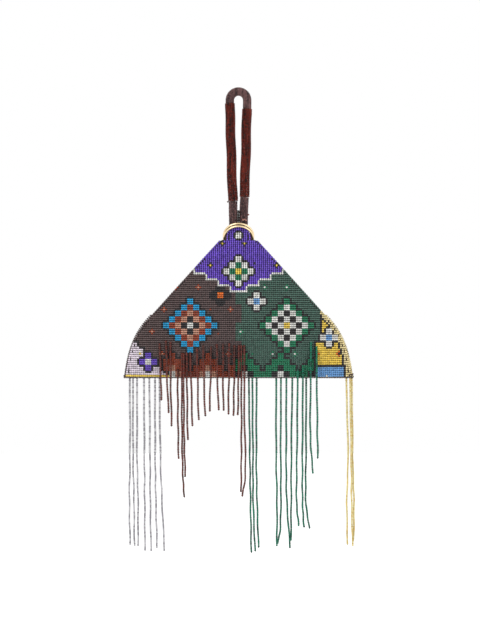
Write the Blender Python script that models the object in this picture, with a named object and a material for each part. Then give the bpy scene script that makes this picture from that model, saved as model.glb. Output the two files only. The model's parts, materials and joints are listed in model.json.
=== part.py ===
"""Beaded medicine bag: two beaded panels sewn together below, closed by two gold rings on
the neck, with a beaded rope handle and a fringe of bead strands.

Metres, +Z up. The bag hangs by its handle: the origin is where the inside of the handle's
top bend bears on a peg or a hand, and the front faces -Y.
"""

import math

import bmesh
import bpy
from mathutils import Vector

# Handle: a cotton rope dressed with strings of beads that run lengthwise
ROPE_RADIUS = 0.0029
GRIP_RADIUS = 0.0046
BEND_RADIUS = 0.0040
END_RADIUS = 0.0043
BEAD_COLUMNS = 12
COLUMN_RELIEF = 0.0004
LOOP_HALF_WIDTH = 0.0087
LEGS_HALF_WIDTH = 0.0051
LEGS_HEIGHT = -0.125
LEGS_CURVE = 1.6
LEG_STEP = 0.012
BEND_STEPS = 10
LEFT_BEND_END = -0.0075
RIGHT_BEND_END = -0.0131
LEFT_GRIP_END = -0.1055
RIGHT_GRIP_END = -0.1015
ROPE_BELOW_RINGS = 0.014

# Two gold rings, tilted so that they cross the handle in front and the neck behind
RING_HEIGHT = -0.1405
RING_DIAMETER = 0.0315
RING_WIRE = 0.0022
RING_TILT = math.radians(35)
RING_PITCH = 0.0025
RING_DROP = 0.0027
RING_STEPS = 36
WIRE_SIDES = 8

# Panels: beads sewn on felt, with a cloth lining
PANEL_THICKNESS = 0.0024
LINING_THICKNESS = 0.0005
LINING_INSET = 0.006
LINING_GAP = 0.0005
NECK_RISE = 0.0095
NECK_CLEARANCE = 0.00135
BAG_DEPTH_PLACE = -0.0006
PANEL_HEIGHT = 0.1501
PANEL_HALF_WIDTH = 0.1129
NOTCH_RISE = 0.0606
NOTCH_HALF_WIDTH = 0.0874
CORNER_LEAN = 0.0090
SHOULDER_HALF_WIDTH = 0.0150
FRONT_FLARE = 0.0015
BACK_FLARE = 0.0050
TIP_STEPS = 6
FLARE_STEPS = 4

# Space between the panels, as half widths, and how roundly the belly starts at the seams
SEAM_GAP = 0.0009
MOUTH_GAP = 0.0032
NECK_GAP = 0.0016
BELLY = 0.0095
BELLY_BELOW = 0.060
BELLY_ABOVE = 0.085
BELLY_SIDE_CURVE = 2.2
BELLY_BOTTOM_CURVE = 2.5
MOUTH_RUN = 0.018
NECK_RUN = 0.018

# Beaded edging of the sewn sides and the bottom
EDGING_HALF_THICKNESS = 0.0008
EDGING_HALF_DEPTH = 0.0029
EDGING_STEPS = 8
EDGING_SIDES = 8

# The pattern is charted on squares of three by three beads
CHART_SQUARE = 0.006
PLAIN_SQUARE = 0.012
LEAST_SHARE = 0.3
ON_THE_LINE = 0.0002

# The strings of beads show as ribs, one for each two squares of the chart
RIB_RELIEF = 0.0006

# Fringe: beads on a thread
STRAND_DIAMETER = 0.0017
STRAND_ROW = 0.0011
STRAND_STEP = 0.030

# Touching pieces keep this between them
GAP = 0.0003

PANEL_TOP = RING_HEIGHT + NECK_RISE
PANEL_BOTTOM = PANEL_TOP - PANEL_HEIGHT
NOTCH_HEIGHT = PANEL_BOTTOM + NOTCH_RISE
BAG_BOTTOM = PANEL_BOTTOM - GAP - 2 * EDGING_HALF_THICKNESS
BEND_CENTRE = BEND_RADIUS - LOOP_HALF_WIDTH
ROPE_END = RING_HEIGHT - ROPE_BELOW_RINGS
BEADS_END = PANEL_TOP + GAP
PRESSED_BELOW = BEADS_END + 2 * ROPE_RADIUS
WIRE_CIRCLE = (RING_DIAMETER - RING_WIRE) / 2

# The lower ring lies in front of the upper one, and a little further down
RING_OFFSET = Vector(
    (
        0,
        -RING_PITCH * math.cos(RING_TILT)
        + (RING_DROP - RING_PITCH * math.sin(RING_TILT)) * math.tan(RING_TILT),
        -RING_DROP,
    )
)
UPPER_RING_CENTRE = Vector((0, -RING_OFFSET.y / 2, RING_HEIGHT))
LOWER_RING_CENTRE = UPPER_RING_CENTRE + RING_OFFSET

COLOURS = {
    "purple": (0.13, 0.06, 0.52),
    "taupe": (0.10, 0.065, 0.065),
    "grey_green": (0.06, 0.14, 0.10),
    "bright_green": (0.004, 0.20, 0.09),
    "yellow": (0.80, 0.55, 0.06),
    "sky": (0.16, 0.38, 0.72),
    "lavender": (0.55, 0.42, 0.62),
    "cyan": (0.004, 0.36, 0.68),
    "rust": (0.30, 0.045, 0.012),
    "orange": (0.79, 0.16, 0.008),
    "peach": (0.60, 0.30, 0.20),
    "black": (0.012, 0.010, 0.012),
    "white": (0.80, 0.80, 0.76),
}

# Each nested diamond of the chart: its centre square, then its colours from the middle out
DIAMONDS = (
    (-8, 8, ("white", "black", "peach", "rust", "cyan")),
    (8, 8, ("yellow", "white", "black", "white", "bright_green")),
    (0, 17, ("yellow", "bright_green", "white")),
    (0, 23, ("white",)),
    (-3, 13, ("orange", "black")),
    (3, 12, ("sky", "white")),
    (-15, 2, ("white", "purple")),
    (15, 6, ("sky", "white", "black")),
)

# The row of peaks along the bottom, from the middle of each peak's foot out
PEAK_SPACING = 6
LEFT_PEAKS = ("white", "peach", "rust", "rust")
RIGHT_PEAKS = ("white", "black", "bright_green", "bright_green")

# Each strand's route, as (x, z) in millimetres from its top end to its last bead
WHITE_STRANDS = (
    ((-108.8, -283.3), (-108.7, -359.5), (-109.2, -404.5), (-108.5, -448.5)),
    ((-105.5, -283.3), (-105.4, -359.5), (-104.5, -404.5), (-104.0, -449.5)),
    ((-101.5, -283.3), (-101.5, -359.5), (-100.5, -404.5), (-100.5, -449.5)),
    ((-94.5, -283.3), (-94.1, -359.5), (-93.8, -404.5), (-93.5, -454.0)),
    ((-89.3, -283.3), (-88.5, -359.5), (-88.3, -404.5), (-87.5, -454.5)),
    ((-83.5, -283.3), (-83.3, -359.5), (-82.6, -404.5), (-81.5, -451.5)),
    ((-79.1, -283.3), (-78.2, -359.5), (-76.6, -404.5), (-74.1, -454.5)),
)
BROWN_STRANDS = (
    ((-78.7, -248.5), (-77.6, -276.0), (-76.9, -303.5)),
    ((-72.3, -246.0), (-71.0, -284.0), (-69.7, -316.0)),
    ((-67.8, -247.2), (-67.5, -290.0), (-66.6, -329.3)),
    ((-60.7, -274.5), (-60.4, -318.0), (-59.7, -361.9)),
    ((-56.5, -258.5), (-56.3, -330.0), (-55.6, -375.0), (-54.1, -400.1)),
    ((-54.6, -258.5), (-54.4, -320.0), (-53.9, -350.0), (-52.9, -379.7)),
    ((-51.5, -257.5), (-51.2, -300.0), (-50.6, -343.0)),
    ((-48.0, -257.1), (-46.9, -295.0), (-45.8, -329.0)),
    ((-41.3, -253.5), (-40.6, -290.0), (-39.7, -323.1)),
    ((-35.2, -250.5), (-34.4, -286.0), (-33.1, -319.1)),
    ((-27.4, -251.5), (-27.9, -284.0), (-28.8, -314.5)),
    ((-21.7, -249.5), (-20.9, -283.0), (-19.9, -313.2)),
    ((-15.5, -248.8), (-15.4, -282.0), (-15.0, -313.7)),
    ((-9.3, -248.5), (-9.6, -284.0), (-10.2, -317.3)),
    ((-4.1, -250.5), (-4.4, -286.0), (-5.1, -318.8)),
    ((0.3, -250.5), (-0.1, -285.0), (-0.7, -318.0)),
    ((2.9, -250.5), (2.9, -320.0), (2.8, -360.0), (2.5, -394.5)),
    ((5.7, -250.5), (5.9, -320.0), (6.9, -365.0), (6.2, -385.0), (3.6, -398.9)),
)
GREEN_STRANDS = (
    ((10.3, -283.3), (11.3, -359.5), (11.9, -404.5), (12.8, -456.3)),
    ((13.8, -283.3), (14.4, -359.5), (14.6, -404.5), (16.5, -454.7)),
    ((18.1, -283.3), (17.8, -359.5), (18.5, -404.5), (20.0, -451.2)),
    ((37.7, -283.3), (37.6, -359.5), (38.4, -404.5), (38.3, -449.5)),
    ((42.4, -283.3), (42.2, -359.5), (42.4, -404.5), (41.6, -434.5), (39.0, -447.5)),
    ((47.8, -283.3), (47.6, -359.5), (48.2, -404.5), (51.5, -451.5)),
    ((53.8, -283.3), (52.8, -359.5), (52.7, -404.5), (52.4, -444.3)),
    ((59.1, -274.5), (58.1, -359.5), (57.8, -404.5), (59.9, -428.7)),
    ((64.2, -274.0), (63.7, -359.5), (63.8, -404.5), (65.1, -430.3)),
    ((67.6, -283.3), (67.4, -359.5), (67.2, -404.5), (70.7, -431.9)),
    ((72.2, -247.5), (71.4, -320.0), (72.0, -350.0), (74.2, -376.5)),
    ((77.7, -251.5), (78.2, -310.0), (78.5, -340.0), (79.0, -361.4)),
)
YELLOW_STRANDS = (
    ((107.8, -283.3), (109.5, -359.5), (108.3, -404.5), (109.0, -448.3)),
    ((111.5, -283.3), (112.6, -359.5), (113.0, -404.5), (114.0, -449.5)),
    ((113.3, -283.3), (114.2, -359.5), (115.4, -404.5), (115.2, -444.5)),
)


def clear_scene():
    for thing in list(bpy.data.objects):
        bpy.data.objects.remove(thing, do_unlink=True)


def finish(name, colour, roughness, metallic=0.0):
    """A plain material of the piece's own colour."""
    material = bpy.data.materials.new(name)
    material.use_nodes = True
    shader = material.node_tree.nodes["Principled BSDF"]
    shader.inputs["Base Color"].default_value = (*colour, 1)
    shader.inputs["Roughness"].default_value = roughness
    shader.inputs["Metallic"].default_value = metallic
    material.diffuse_color = (*colour, 1)
    return material


def smooth_step(share):
    share = min(max(share, 0), 1)
    return share * share * (3 - 2 * share)


def mix(start, end, share):
    return start + (end - start) * share


# Form of the panels


def behind_ring(depth, clearance):
    """Where the lower ring's wire passes behind a panel whose face is at this depth: the half
    width that stays inside the wire, and the height below which the wire is clear of it."""
    down = (depth + GAP + RING_WIRE / 2 - LOWER_RING_CENTRE.y) / math.sin(RING_TILT)
    across = math.sqrt(max(WIRE_CIRCLE**2 - down**2, 0))
    height = LOWER_RING_CENTRE.z - down * math.cos(RING_TILT)
    return across - RING_WIRE / 2 - clearance, height - RING_WIRE / 2 - GAP


FRONT_NECK_HALF = WIRE_CIRCLE - RING_WIRE / 2 - NECK_CLEARANCE
FRONT_NECK_FOOT = behind_ring(BAG_DEPTH_PLACE - NECK_GAP, 0)[1]
BACK_NECK_HALF, BACK_NECK_FOOT = behind_ring(
    BAG_DEPTH_PLACE + NECK_GAP + PANEL_THICKNESS, NECK_CLEARANCE / 2
)
FRONT = {"half": FRONT_NECK_HALF, "foot": FRONT_NECK_FOOT, "flare": FRONT_FLARE, "side": -1}
BACK = {"half": BACK_NECK_HALF, "foot": BACK_NECK_FOOT, "flare": BACK_FLARE, "side": 1}


def shoulder(height):
    """Half width of a panel: straight slopes down to the notches, then round to the corners."""
    if height > NOTCH_HEIGHT:
        share = (RING_HEIGHT - height) / (RING_HEIGHT - NOTCH_HEIGHT)
        return mix(SHOULDER_HALF_WIDTH, NOTCH_HALF_WIDTH, share)
    share = (height - PANEL_BOTTOM) / NOTCH_RISE
    drawn_in = PANEL_HALF_WIDTH - NOTCH_HALF_WIDTH - CORNER_LEAN
    return PANEL_HALF_WIDTH - CORNER_LEAN * share - drawn_in * share**3


def half_width(height, panel):
    """The panel's own half width, with the neck that goes up through the rings."""
    flared = smooth_step((panel["foot"] - height) / panel["flare"])
    return mix(panel["half"], shoulder(height), flared)


def half_gap(x, height):
    """Half the space between the two panels: shut at the seams, a slit at the open slopes,
    thin in the neck, and a round belly between them."""
    opened = smooth_step((height - NOTCH_HEIGHT) / MOUTH_RUN)
    necked = smooth_step((height - BACK_NECK_FOOT + NECK_RUN) / NECK_RUN)
    edge = mix(mix(SEAM_GAP, MOUTH_GAP, opened), NECK_GAP, necked)
    across = min(abs(x) / shoulder(height), 1)
    from_full = 1 - min((height - PANEL_BOTTOM) / BELLY_BELOW, 1)
    below = 1 - from_full**BELLY_BOTTOM_CURVE
    above = smooth_step((BACK_NECK_FOOT - BACK_FLARE - height) / BELLY_ABOVE)
    return mix(edge, BELLY, (1 - across**BELLY_SIDE_CURVE) * below * above)


def face_depth(x, height, panel, offset):
    """Y of a surface that lies this far out from the inner face of a panel."""
    return BAG_DEPTH_PLACE + panel["side"] * (half_gap(x, height) + offset)


def between_ribs(x, height, panel):
    """How far the outer face is drawn in between the ribs. The strings of beads run up and down
    on the front's yoke and across everywhere else, and the neck is smooth."""
    if height > BACK_NECK_FOOT - BACK_FLARE:
        return 0
    column = x / CHART_SQUARE
    row = (height - PANEL_BOTTOM) / CHART_SQUARE
    upright = panel is FRONT and ground_colour(round(column), math.floor(row)) == "purple"
    line = column + 0.5 if upright else row
    return RIB_RELIEF * abs(line % 2 - 1)


def panel_outline(panel):
    """Points of the right edge, from the round tip of the neck down to the corner."""
    shoulder_of_tip = PANEL_TOP - NECK_RISE - RING_WIRE / 2
    points = []
    for k in range(1, TIP_STEPS + 1):
        angle = math.pi / 2 * k / TIP_STEPS
        rise = (PANEL_TOP - shoulder_of_tip) * math.cos(angle)
        points.append((panel["half"] * math.sin(angle), shoulder_of_tip + rise))
    for k in range(FLARE_STEPS + 1):
        height = panel["foot"] - panel["flare"] * k / FLARE_STEPS
        points.append((half_width(height, panel), height))
    row = math.floor((points[-1][1] - PANEL_BOTTOM) / CHART_SQUARE - LEAST_SHARE)
    while row >= 0:
        height = PANEL_BOTTOM + row * CHART_SQUARE
        points.append((half_width(height, panel), height))
        row -= 1
    return points


def lining_outline(panel):
    """Points of the lining's right edge, which stays inside the panel's."""
    top = BACK_NECK_FOOT - 2 * BACK_FLARE
    bottom = PANEL_BOTTOM + LINING_INSET
    rows = math.ceil((top - bottom) / PLAIN_SQUARE)
    heights = [mix(top, bottom, k / rows) for k in range(rows + 1)]
    return [(half_width(height, panel) - LINING_INSET, height) for height in heights]


def flat_sheet(right_edge, width, rise):
    """A flat sheet in the XZ plane, cut into cells of this width and rise."""
    left_edge = [(-x, height) for x, height in reversed(right_edge)]
    sheet = bmesh.new()
    sheet.faces.new([sheet.verts.new((x, 0, height)) for x, height in right_edge + left_edge])
    columns = math.ceil(PANEL_HALF_WIDTH / width)
    rows = math.ceil(PANEL_HEIGHT / rise)
    cuts = [((k + 0.5) * width, Vector((1, 0, 0))) for k in range(-columns, columns)]
    cuts += [(PANEL_BOTTOM + k * rise, Vector((0, 0, 1))) for k in range(1, rows)]
    for place, normal in cuts:
        whole = sheet.verts[:] + sheet.edges[:] + sheet.faces[:]
        bmesh.ops.bisect_plane(
            sheet, geom=whole, dist=ON_THE_LINE, plane_co=normal * place, plane_no=normal
        )
    return sheet


def shell_from_sheet(sheet, outer, inner, colour_of):
    """Gives a sheet its two curved faces and its rim. colour_of takes a cell's centre and
    returns the outer face's material number; the rest takes number 0."""
    shell = bmesh.new()
    sheet.verts.index_update()
    front = [shell.verts.new((v.co.x, outer(v.co.x, v.co.z), v.co.z)) for v in sheet.verts]
    back = [shell.verts.new((v.co.x, inner(v.co.x, v.co.z), v.co.z)) for v in sheet.verts]
    for cell in sheet.faces:
        numbers = [v.index for v in cell.verts]
        centre = cell.calc_center_median()
        shown = shell.faces.new([front[n] for n in numbers])
        shown.material_index = colour_of(centre.x, centre.z)
        shell.faces.new([back[n] for n in reversed(numbers)])
    for edge in sheet.edges:
        if edge.is_boundary:
            a, b = (v.index for v in edge.verts)
            shell.faces.new((front[a], front[b], back[b], back[a]))
    sheet.free()
    bmesh.ops.recalc_face_normals(shell, faces=shell.faces[:])
    return shell


# The beadwork's chart


def ground_colour(column, row):
    """The fields of colour that the motifs lie on."""
    reach = abs(column)
    if row > 13 + reach / 2:
        return "purple"
    if -column > 11 + row:
        return "lavender"
    if column > 12 + row // 6:
        return "sky" if row < 2 else "yellow"
    step = row + abs((column + 2) % PEAK_SPACING - PEAK_SPACING // 2)
    peaks = LEFT_PEAKS if column < 0 else RIGHT_PEAKS
    if step < len(peaks):
        return peaks[step]
    return "taupe" if column < (row // 3) % 2 else "grey_green"


def chart_colour(x, height):
    """The colour of the chart's square at a place on the front."""
    column = round(x / CHART_SQUARE)
    row = math.floor((height - PANEL_BOTTOM) / CHART_SQUARE)
    for middle, middle_row, rings in DIAMONDS:
        ring = abs(column - middle) + abs(row - middle_row)
        if ring < len(rings):
            return rings[ring]
    return ground_colour(column, row)


# Objects


def add_object(name, mesh, materials, smooth=True):
    data = bpy.data.meshes.new(name)
    mesh.to_mesh(data)
    mesh.free()
    for material in materials:
        data.materials.append(material)
    if smooth:
        data.shade_smooth()
        data.set_sharp_from_angle(angle=math.radians(40))
    thing = bpy.data.objects.new(name, data)
    bpy.context.scene.collection.objects.link(thing)
    return thing


def add_panel(name, panel, width, cloth, beads, colour_of):
    def outer(x, height):
        thickness = PANEL_THICKNESS - between_ribs(x, height, panel)
        return face_depth(x, height, panel, thickness)

    shell = shell_from_sheet(
        flat_sheet(panel_outline(panel), width, CHART_SQUARE),
        outer,
        lambda x, height: face_depth(x, height, panel, 0),
        colour_of,
    )
    return add_object(name, shell, [cloth, *beads])


def add_lining(name, panel, cloth):
    shell = shell_from_sheet(
        flat_sheet(lining_outline(panel), PLAIN_SQUARE, PLAIN_SQUARE),
        lambda x, height: face_depth(x, height, panel, -LINING_GAP),
        lambda x, height: face_depth(x, height, panel, -LINING_GAP - LINING_THICKNESS),
        lambda x, height: 0,
    )
    return add_object(name, shell, [cloth])


def add_panels():
    felt = finish("backing felt", (0.03, 0.025, 0.025), 0.9)
    cloth = finish("lining cloth", (0.02, 0.018, 0.02), 0.85)
    names = list(COLOURS)
    beads = [finish(f"{name} beads", COLOURS[name], 0.3) for name in names]
    add_panel(
        "front_panel",
        FRONT,
        CHART_SQUARE,
        felt,
        beads,
        lambda x, height: 1 + names.index(chart_colour(x, height)),
    )
    taupe = beads[names.index("taupe")]
    add_panel("back_panel", BACK, PLAIN_SQUARE, felt, [taupe], lambda x, height: 1)
    add_lining("front_lining", FRONT, cloth)
    add_lining("back_lining", BACK, cloth)


# Sweeps along a route in the XZ plane


def oval(count, half_thickness, half_depth, relief=0.0):
    """A section as (across, depth) pairs. With a relief, every other point is drawn in."""
    points = []
    for k in range(count):
        angle = 2 * math.pi * k / count
        inward = relief if k % 2 else 0
        across = (half_thickness - inward) * math.cos(angle)
        points.append((across, (half_depth - inward) * math.sin(angle)))
    return points


def directions(route):
    """The route's own direction at each point, from its neighbours."""
    found = []
    for k in range(len(route)):
        ahead = route[min(k + 1, len(route) - 1)]
        behind = route[max(k - 1, 0)]
        found.append((ahead - behind).normalized())
    return found


def swept_rings(mesh, route, sections):
    """One ring of vertices for each point of the route."""
    rings = []
    for place, along, section in zip(route, directions(route), sections):
        across = along.cross(Vector((0, 1, 0)))
        ring = [mesh.verts.new(place + across * a + Vector((0, d, 0))) for a, d in section]
        rings.append(ring)
    return rings


def join_rings(mesh, rings):
    for first, second in zip(rings, rings[1:]):
        for k in range(len(first)):
            after = (k + 1) % len(first)
            mesh.faces.new((first[k], first[after], second[after], second[k]))


def solid_sweep(route, sections):
    """A filled bar along the route."""
    mesh = bmesh.new()
    rings = swept_rings(mesh, route, sections)
    join_rings(mesh, rings)
    mesh.faces.new(rings[0])
    mesh.faces.new(rings[-1])
    bmesh.ops.recalc_face_normals(mesh, faces=mesh.faces[:])
    return mesh


def bead_sleeve(route, radius):
    """A tube of bead columns round the rope: each column is one ridge outside."""
    outside = oval(2 * BEAD_COLUMNS, radius, radius, COLUMN_RELIEF)
    inside = oval(BEAD_COLUMNS, ROPE_RADIUS + GAP, ROPE_RADIUS + GAP)
    mesh = bmesh.new()
    outer = swept_rings(mesh, route, [outside] * len(route))
    inner = swept_rings(mesh, route, [inside] * len(route))
    join_rings(mesh, outer)
    join_rings(mesh, inner)
    for end in (0, -1):
        for k in range(BEAD_COLUMNS):
            after = (k + 1) % BEAD_COLUMNS
            ridge = [outer[end][2 * k], outer[end][2 * k + 1], outer[end][2 * after]]
            mesh.faces.new([*ridge, inner[end][after], inner[end][k]])
    bmesh.ops.recalc_face_normals(mesh, faces=mesh.faces[:])
    return mesh


# Handle


def leg_offset(height):
    """How far a leg's centre line is from the middle: the legs close in towards the neck."""
    share = (height - LEGS_HEIGHT) / (BEND_CENTRE - LEGS_HEIGHT)
    share = min(max(share, 0), 1)
    return mix(LOOP_HALF_WIDTH, LEGS_HALF_WIDTH, (1 - share) ** LEGS_CURVE)


def leg_route(side, top, bottom):
    """Points down one leg between two heights."""
    steps = max(round((top - bottom) / LEG_STEP), 1)
    heights = [mix(top, bottom, k / steps) for k in range(steps + 1)]
    return [Vector((side * leg_offset(z), 0, z)) for z in heights]


def bend_route():
    """Points over the top, from the left leg to the right one."""
    points = []
    for k in range(1, BEND_STEPS):
        angle = math.pi * (1 - k / BEND_STEPS)
        x = LOOP_HALF_WIDTH * math.cos(angle)
        points.append(Vector((x, 0, BEND_CENTRE + LOOP_HALF_WIDTH * math.sin(angle))))
    return points


def over_the_top(left_bottom, right_bottom):
    """Up the left leg from one height, over the bend and down the right leg to the other."""
    left = leg_route(-1, BEND_CENTRE, left_bottom)[::-1]
    return left + bend_route() + leg_route(1, BEND_CENTRE, right_bottom)


def pressed_flat(height):
    """0 where the rope is round, 1 where it is sewn in flat between the panels."""
    return smooth_step((PRESSED_BELOW - height) / (PRESSED_BELOW - BEADS_END))


def rope_leg(side):
    """Down one leg of the rope, which goes on between the panels."""
    round_part = leg_route(side, BEND_CENTRE, PRESSED_BELOW)
    pressed_part = leg_route(side, PRESSED_BELOW, BEADS_END)[1:]
    return round_part + pressed_part + leg_route(side, BEADS_END, ROPE_END)[1:]


def add_rope(cotton):
    route = rope_leg(-1)[::-1] + bend_route() + rope_leg(1)
    sections = []
    for point in route:
        flat = pressed_flat(point.z)
        point.y = BAG_DEPTH_PLACE * flat
        half_depth = mix(ROPE_RADIUS, NECK_GAP - 2 * GAP, flat)
        sections.append(oval(BEAD_COLUMNS, ROPE_RADIUS, half_depth))
    add_object("handle_core", solid_sweep(route, sections), [cotton])


def add_handle():
    cotton = finish("cotton rope", (0.16, 0.12, 0.09), 0.9)
    oxblood = finish("oxblood beads", (0.09, 0.012, 0.007), 0.22)
    mauve = finish("mauve beads", (0.12, 0.075, 0.075), 0.5)

    add_rope(cotton)
    bend = over_the_top(LEFT_BEND_END, RIGHT_BEND_END)
    left_grip = leg_route(-1, LEFT_BEND_END - GAP, LEFT_GRIP_END)
    right_grip = leg_route(1, RIGHT_BEND_END - GAP, RIGHT_GRIP_END)
    left_end = leg_route(-1, LEFT_GRIP_END - GAP, BEADS_END)
    right_end = leg_route(1, RIGHT_GRIP_END - GAP, BEADS_END)
    add_object("handle_top_beads", bead_sleeve(bend, BEND_RADIUS), [mauve])
    add_object("left_grip_beads", bead_sleeve(left_grip, GRIP_RADIUS), [oxblood])
    add_object("right_grip_beads", bead_sleeve(right_grip, GRIP_RADIUS), [oxblood])
    add_object("left_end_beads", bead_sleeve(left_end, END_RADIUS), [mauve])
    add_object("right_end_beads", bead_sleeve(right_end, END_RADIUS), [mauve])


# Rings


def ring_mesh():
    """A round wire turned into a ring, its axis along Z."""
    mesh = bmesh.new()
    wire = []
    for k in range(WIRE_SIDES):
        angle = 2 * math.pi * k / WIRE_SIDES
        out = RING_WIRE / 2 * math.cos(angle)
        wire.append(mesh.verts.new((WIRE_CIRCLE + out, 0, RING_WIRE / 2 * math.sin(angle))))
    edges = [mesh.edges.new((wire[k - 1], wire[k])) for k in range(WIRE_SIDES)]
    bmesh.ops.spin(
        mesh,
        geom=wire + edges,
        cent=(0, 0, 0),
        axis=(0, 0, 1),
        angle=2 * math.pi,
        steps=RING_STEPS,
        use_merge=True,
    )
    bmesh.ops.remove_doubles(mesh, verts=mesh.verts[:], dist=0.00001)
    bmesh.ops.recalc_face_normals(mesh, faces=mesh.faces[:])
    return mesh


def add_rings():
    """Both rings slide up the handle together, so they share one empty on that path."""
    gold = finish("polished gold", (0.83, 0.60, 0.28), 0.12, 1.0)
    slider = bpy.data.objects.new("closing_rings", None)
    slider.empty_display_size = RING_DIAMETER / 2
    slider.location = (0, 0, RING_HEIGHT)
    bpy.context.scene.collection.objects.link(slider)
    for name, centre in (("upper_ring", UPPER_RING_CENTRE), ("lower_ring", LOWER_RING_CENTRE)):
        ring = add_object(name, ring_mesh(), [gold])
        ring.parent = slider
        ring.location = centre - slider.location
        ring.rotation_euler = (RING_TILT - math.pi / 2, 0, 0)


# Edging


def side_edging_route(side):
    """The line just outside a sewn side, from the corner up to the notch."""
    points = []
    for k in range(EDGING_STEPS + 1):
        height = mix(PANEL_BOTTOM, NOTCH_HEIGHT, k / EDGING_STEPS)
        rise = CHART_SQUARE / 2
        lean = shoulder(height) - shoulder(height + rise)
        out = Vector((rise, 0, lean)).normalized() * (GAP + EDGING_HALF_THICKNESS)
        points.append(Vector((shoulder(height) + out.x, BAG_DEPTH_PLACE, height + out.z)))
    points[0].z = PANEL_BOTTOM
    return [Vector((side * p.x, p.y, p.z)) for p in points]


def add_edging():
    beads = finish("edging beads", (0.10, 0.065, 0.065), 0.35)
    section = oval(EDGING_SIDES, EDGING_HALF_THICKNESS, EDGING_HALF_DEPTH)
    for name, side in (("left_seam", -1), ("right_seam", 1)):
        route = side_edging_route(side)
        add_object(name, solid_sweep(route, [section] * len(route)), [beads])
    reach = PANEL_HALF_WIDTH + GAP + 2 * EDGING_HALF_THICKNESS
    height = BAG_BOTTOM + EDGING_HALF_THICKNESS
    steps = 2 * EDGING_STEPS
    route = [
        Vector((mix(-reach, reach, k / steps), BAG_DEPTH_PLACE, height)) for k in range(steps + 1)
    ]
    add_object("bottom_seam", solid_sweep(route, [section] * len(route)), [beads])


# Fringe


def curve_through(points, count):
    """Evenly many points on a smooth curve through a route's own points."""
    ends = [2 * points[0] - points[1], *points, 2 * points[-1] - points[-2]]
    found = []
    for k in range(count):
        place = (len(points) - 1) * k / (count - 1)
        span = min(int(place), len(points) - 2)
        t = place - span
        a, b, c, d = ends[span : span + 4]
        straight = 2 * b + (c - a) * t
        bend = (2 * a - 5 * b + 4 * c - d) * t**2 + (3 * b - a - 3 * c + d) * t**3
        found.append((straight + bend) / 2)
    return found


def strand_depth(number, start, height):
    """Y of a strand. Those from the bottom edge hang in two rows. Those sewn to the front
    leave its surface, and every other one soon hangs a row further forward."""
    row = STRAND_ROW if number % 2 else -STRAND_ROW
    if start.z < BAG_BOTTOM:
        return BAG_DEPTH_PLACE + row
    surface = face_depth(start.x, start.z, FRONT, PANEL_THICKNESS)
    forward = (STRAND_ROW - row) * smooth_step((start.z - height) / STRAND_STEP)
    return surface - GAP - STRAND_DIAMETER / 2 - forward


def add_strand(name, number, route_mm, beads):
    route = [Vector((x / 1000, 0, z / 1000)) for x, z in route_mm]
    length = route[0].z - route[-1].z
    points = curve_through(route, max(math.ceil(length / STRAND_STEP), 2) + 1)
    curve = bpy.data.curves.new(name, "CURVE")
    curve.dimensions = "3D"
    curve.bevel_depth = STRAND_DIAMETER / 2
    curve.bevel_resolution = 2
    curve.use_fill_caps = True
    spline = curve.splines.new("POLY")
    spline.points.add(len(points) - 1)
    for place, point in zip(spline.points, points):
        place.co = (point.x, strand_depth(number, route[0], point.z), point.z, 1)
    curve.materials.append(beads)
    strand = bpy.data.objects.new(name, curve)
    bpy.context.scene.collection.objects.link(strand)


def add_fringe():
    groups = (
        ("white_strand", WHITE_STRANDS, (0.62, 0.60, 0.66)),
        ("brown_strand", BROWN_STRANDS, (0.16, 0.035, 0.018)),
        ("green_strand", GREEN_STRANDS, (0.008, 0.17, 0.09)),
        ("yellow_strand", YELLOW_STRANDS, (0.80, 0.62, 0.13)),
    )
    for group, strands, colour in groups:
        beads = finish(f"{group} beads", colour, 0.3)
        for number, route_mm in enumerate(strands, 1):
            add_strand(f"{group}_{number}", number, route_mm, beads)


def main():
    clear_scene()
    add_panels()
    add_handle()
    add_rings()
    add_edging()
    add_fringe()


main()
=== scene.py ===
"""Looks of a beaded medicine bag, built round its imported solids.

Every bead is a real bead. Python works out where the beads of a panel lie from the form of the
cloth and the chart of the pattern, and Geometry Nodes thread them there. The handle's sleeves,
the fringe and the rope are threaded and laid along their own routes.
"""

import json
import math
import random

import bmesh
import bpy
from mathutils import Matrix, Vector

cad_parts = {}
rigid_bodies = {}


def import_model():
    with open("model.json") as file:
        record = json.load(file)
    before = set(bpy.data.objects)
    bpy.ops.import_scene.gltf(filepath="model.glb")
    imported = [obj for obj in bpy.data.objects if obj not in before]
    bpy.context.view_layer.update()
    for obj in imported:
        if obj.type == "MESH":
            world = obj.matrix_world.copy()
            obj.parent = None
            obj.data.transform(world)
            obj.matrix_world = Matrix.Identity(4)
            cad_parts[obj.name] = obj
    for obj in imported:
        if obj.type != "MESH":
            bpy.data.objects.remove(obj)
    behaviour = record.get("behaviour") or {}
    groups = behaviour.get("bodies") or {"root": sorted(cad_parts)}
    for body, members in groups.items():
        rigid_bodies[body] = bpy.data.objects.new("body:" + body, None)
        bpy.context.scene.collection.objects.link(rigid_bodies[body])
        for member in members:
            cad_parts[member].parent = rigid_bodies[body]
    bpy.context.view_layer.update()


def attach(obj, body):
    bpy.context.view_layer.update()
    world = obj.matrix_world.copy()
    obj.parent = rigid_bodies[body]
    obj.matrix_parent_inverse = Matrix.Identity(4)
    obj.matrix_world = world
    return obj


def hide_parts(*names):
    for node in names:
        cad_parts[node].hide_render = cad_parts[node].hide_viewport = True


bl_info = {
    "name": "Beaded medicine bag",
    "version": (1, 0, 0),
    "blender": (4, 5, 0),
    "location": "3D View > Sidebar > Beaded Bag",
    "description": "Builds the beadwork, handle, rings and fringe of a beaded bag",
    "category": "Object",
}

for startup_object in list(bpy.data.objects):
    bpy.data.objects.remove(startup_object, do_unlink=True)

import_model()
MM = 0.001

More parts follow.
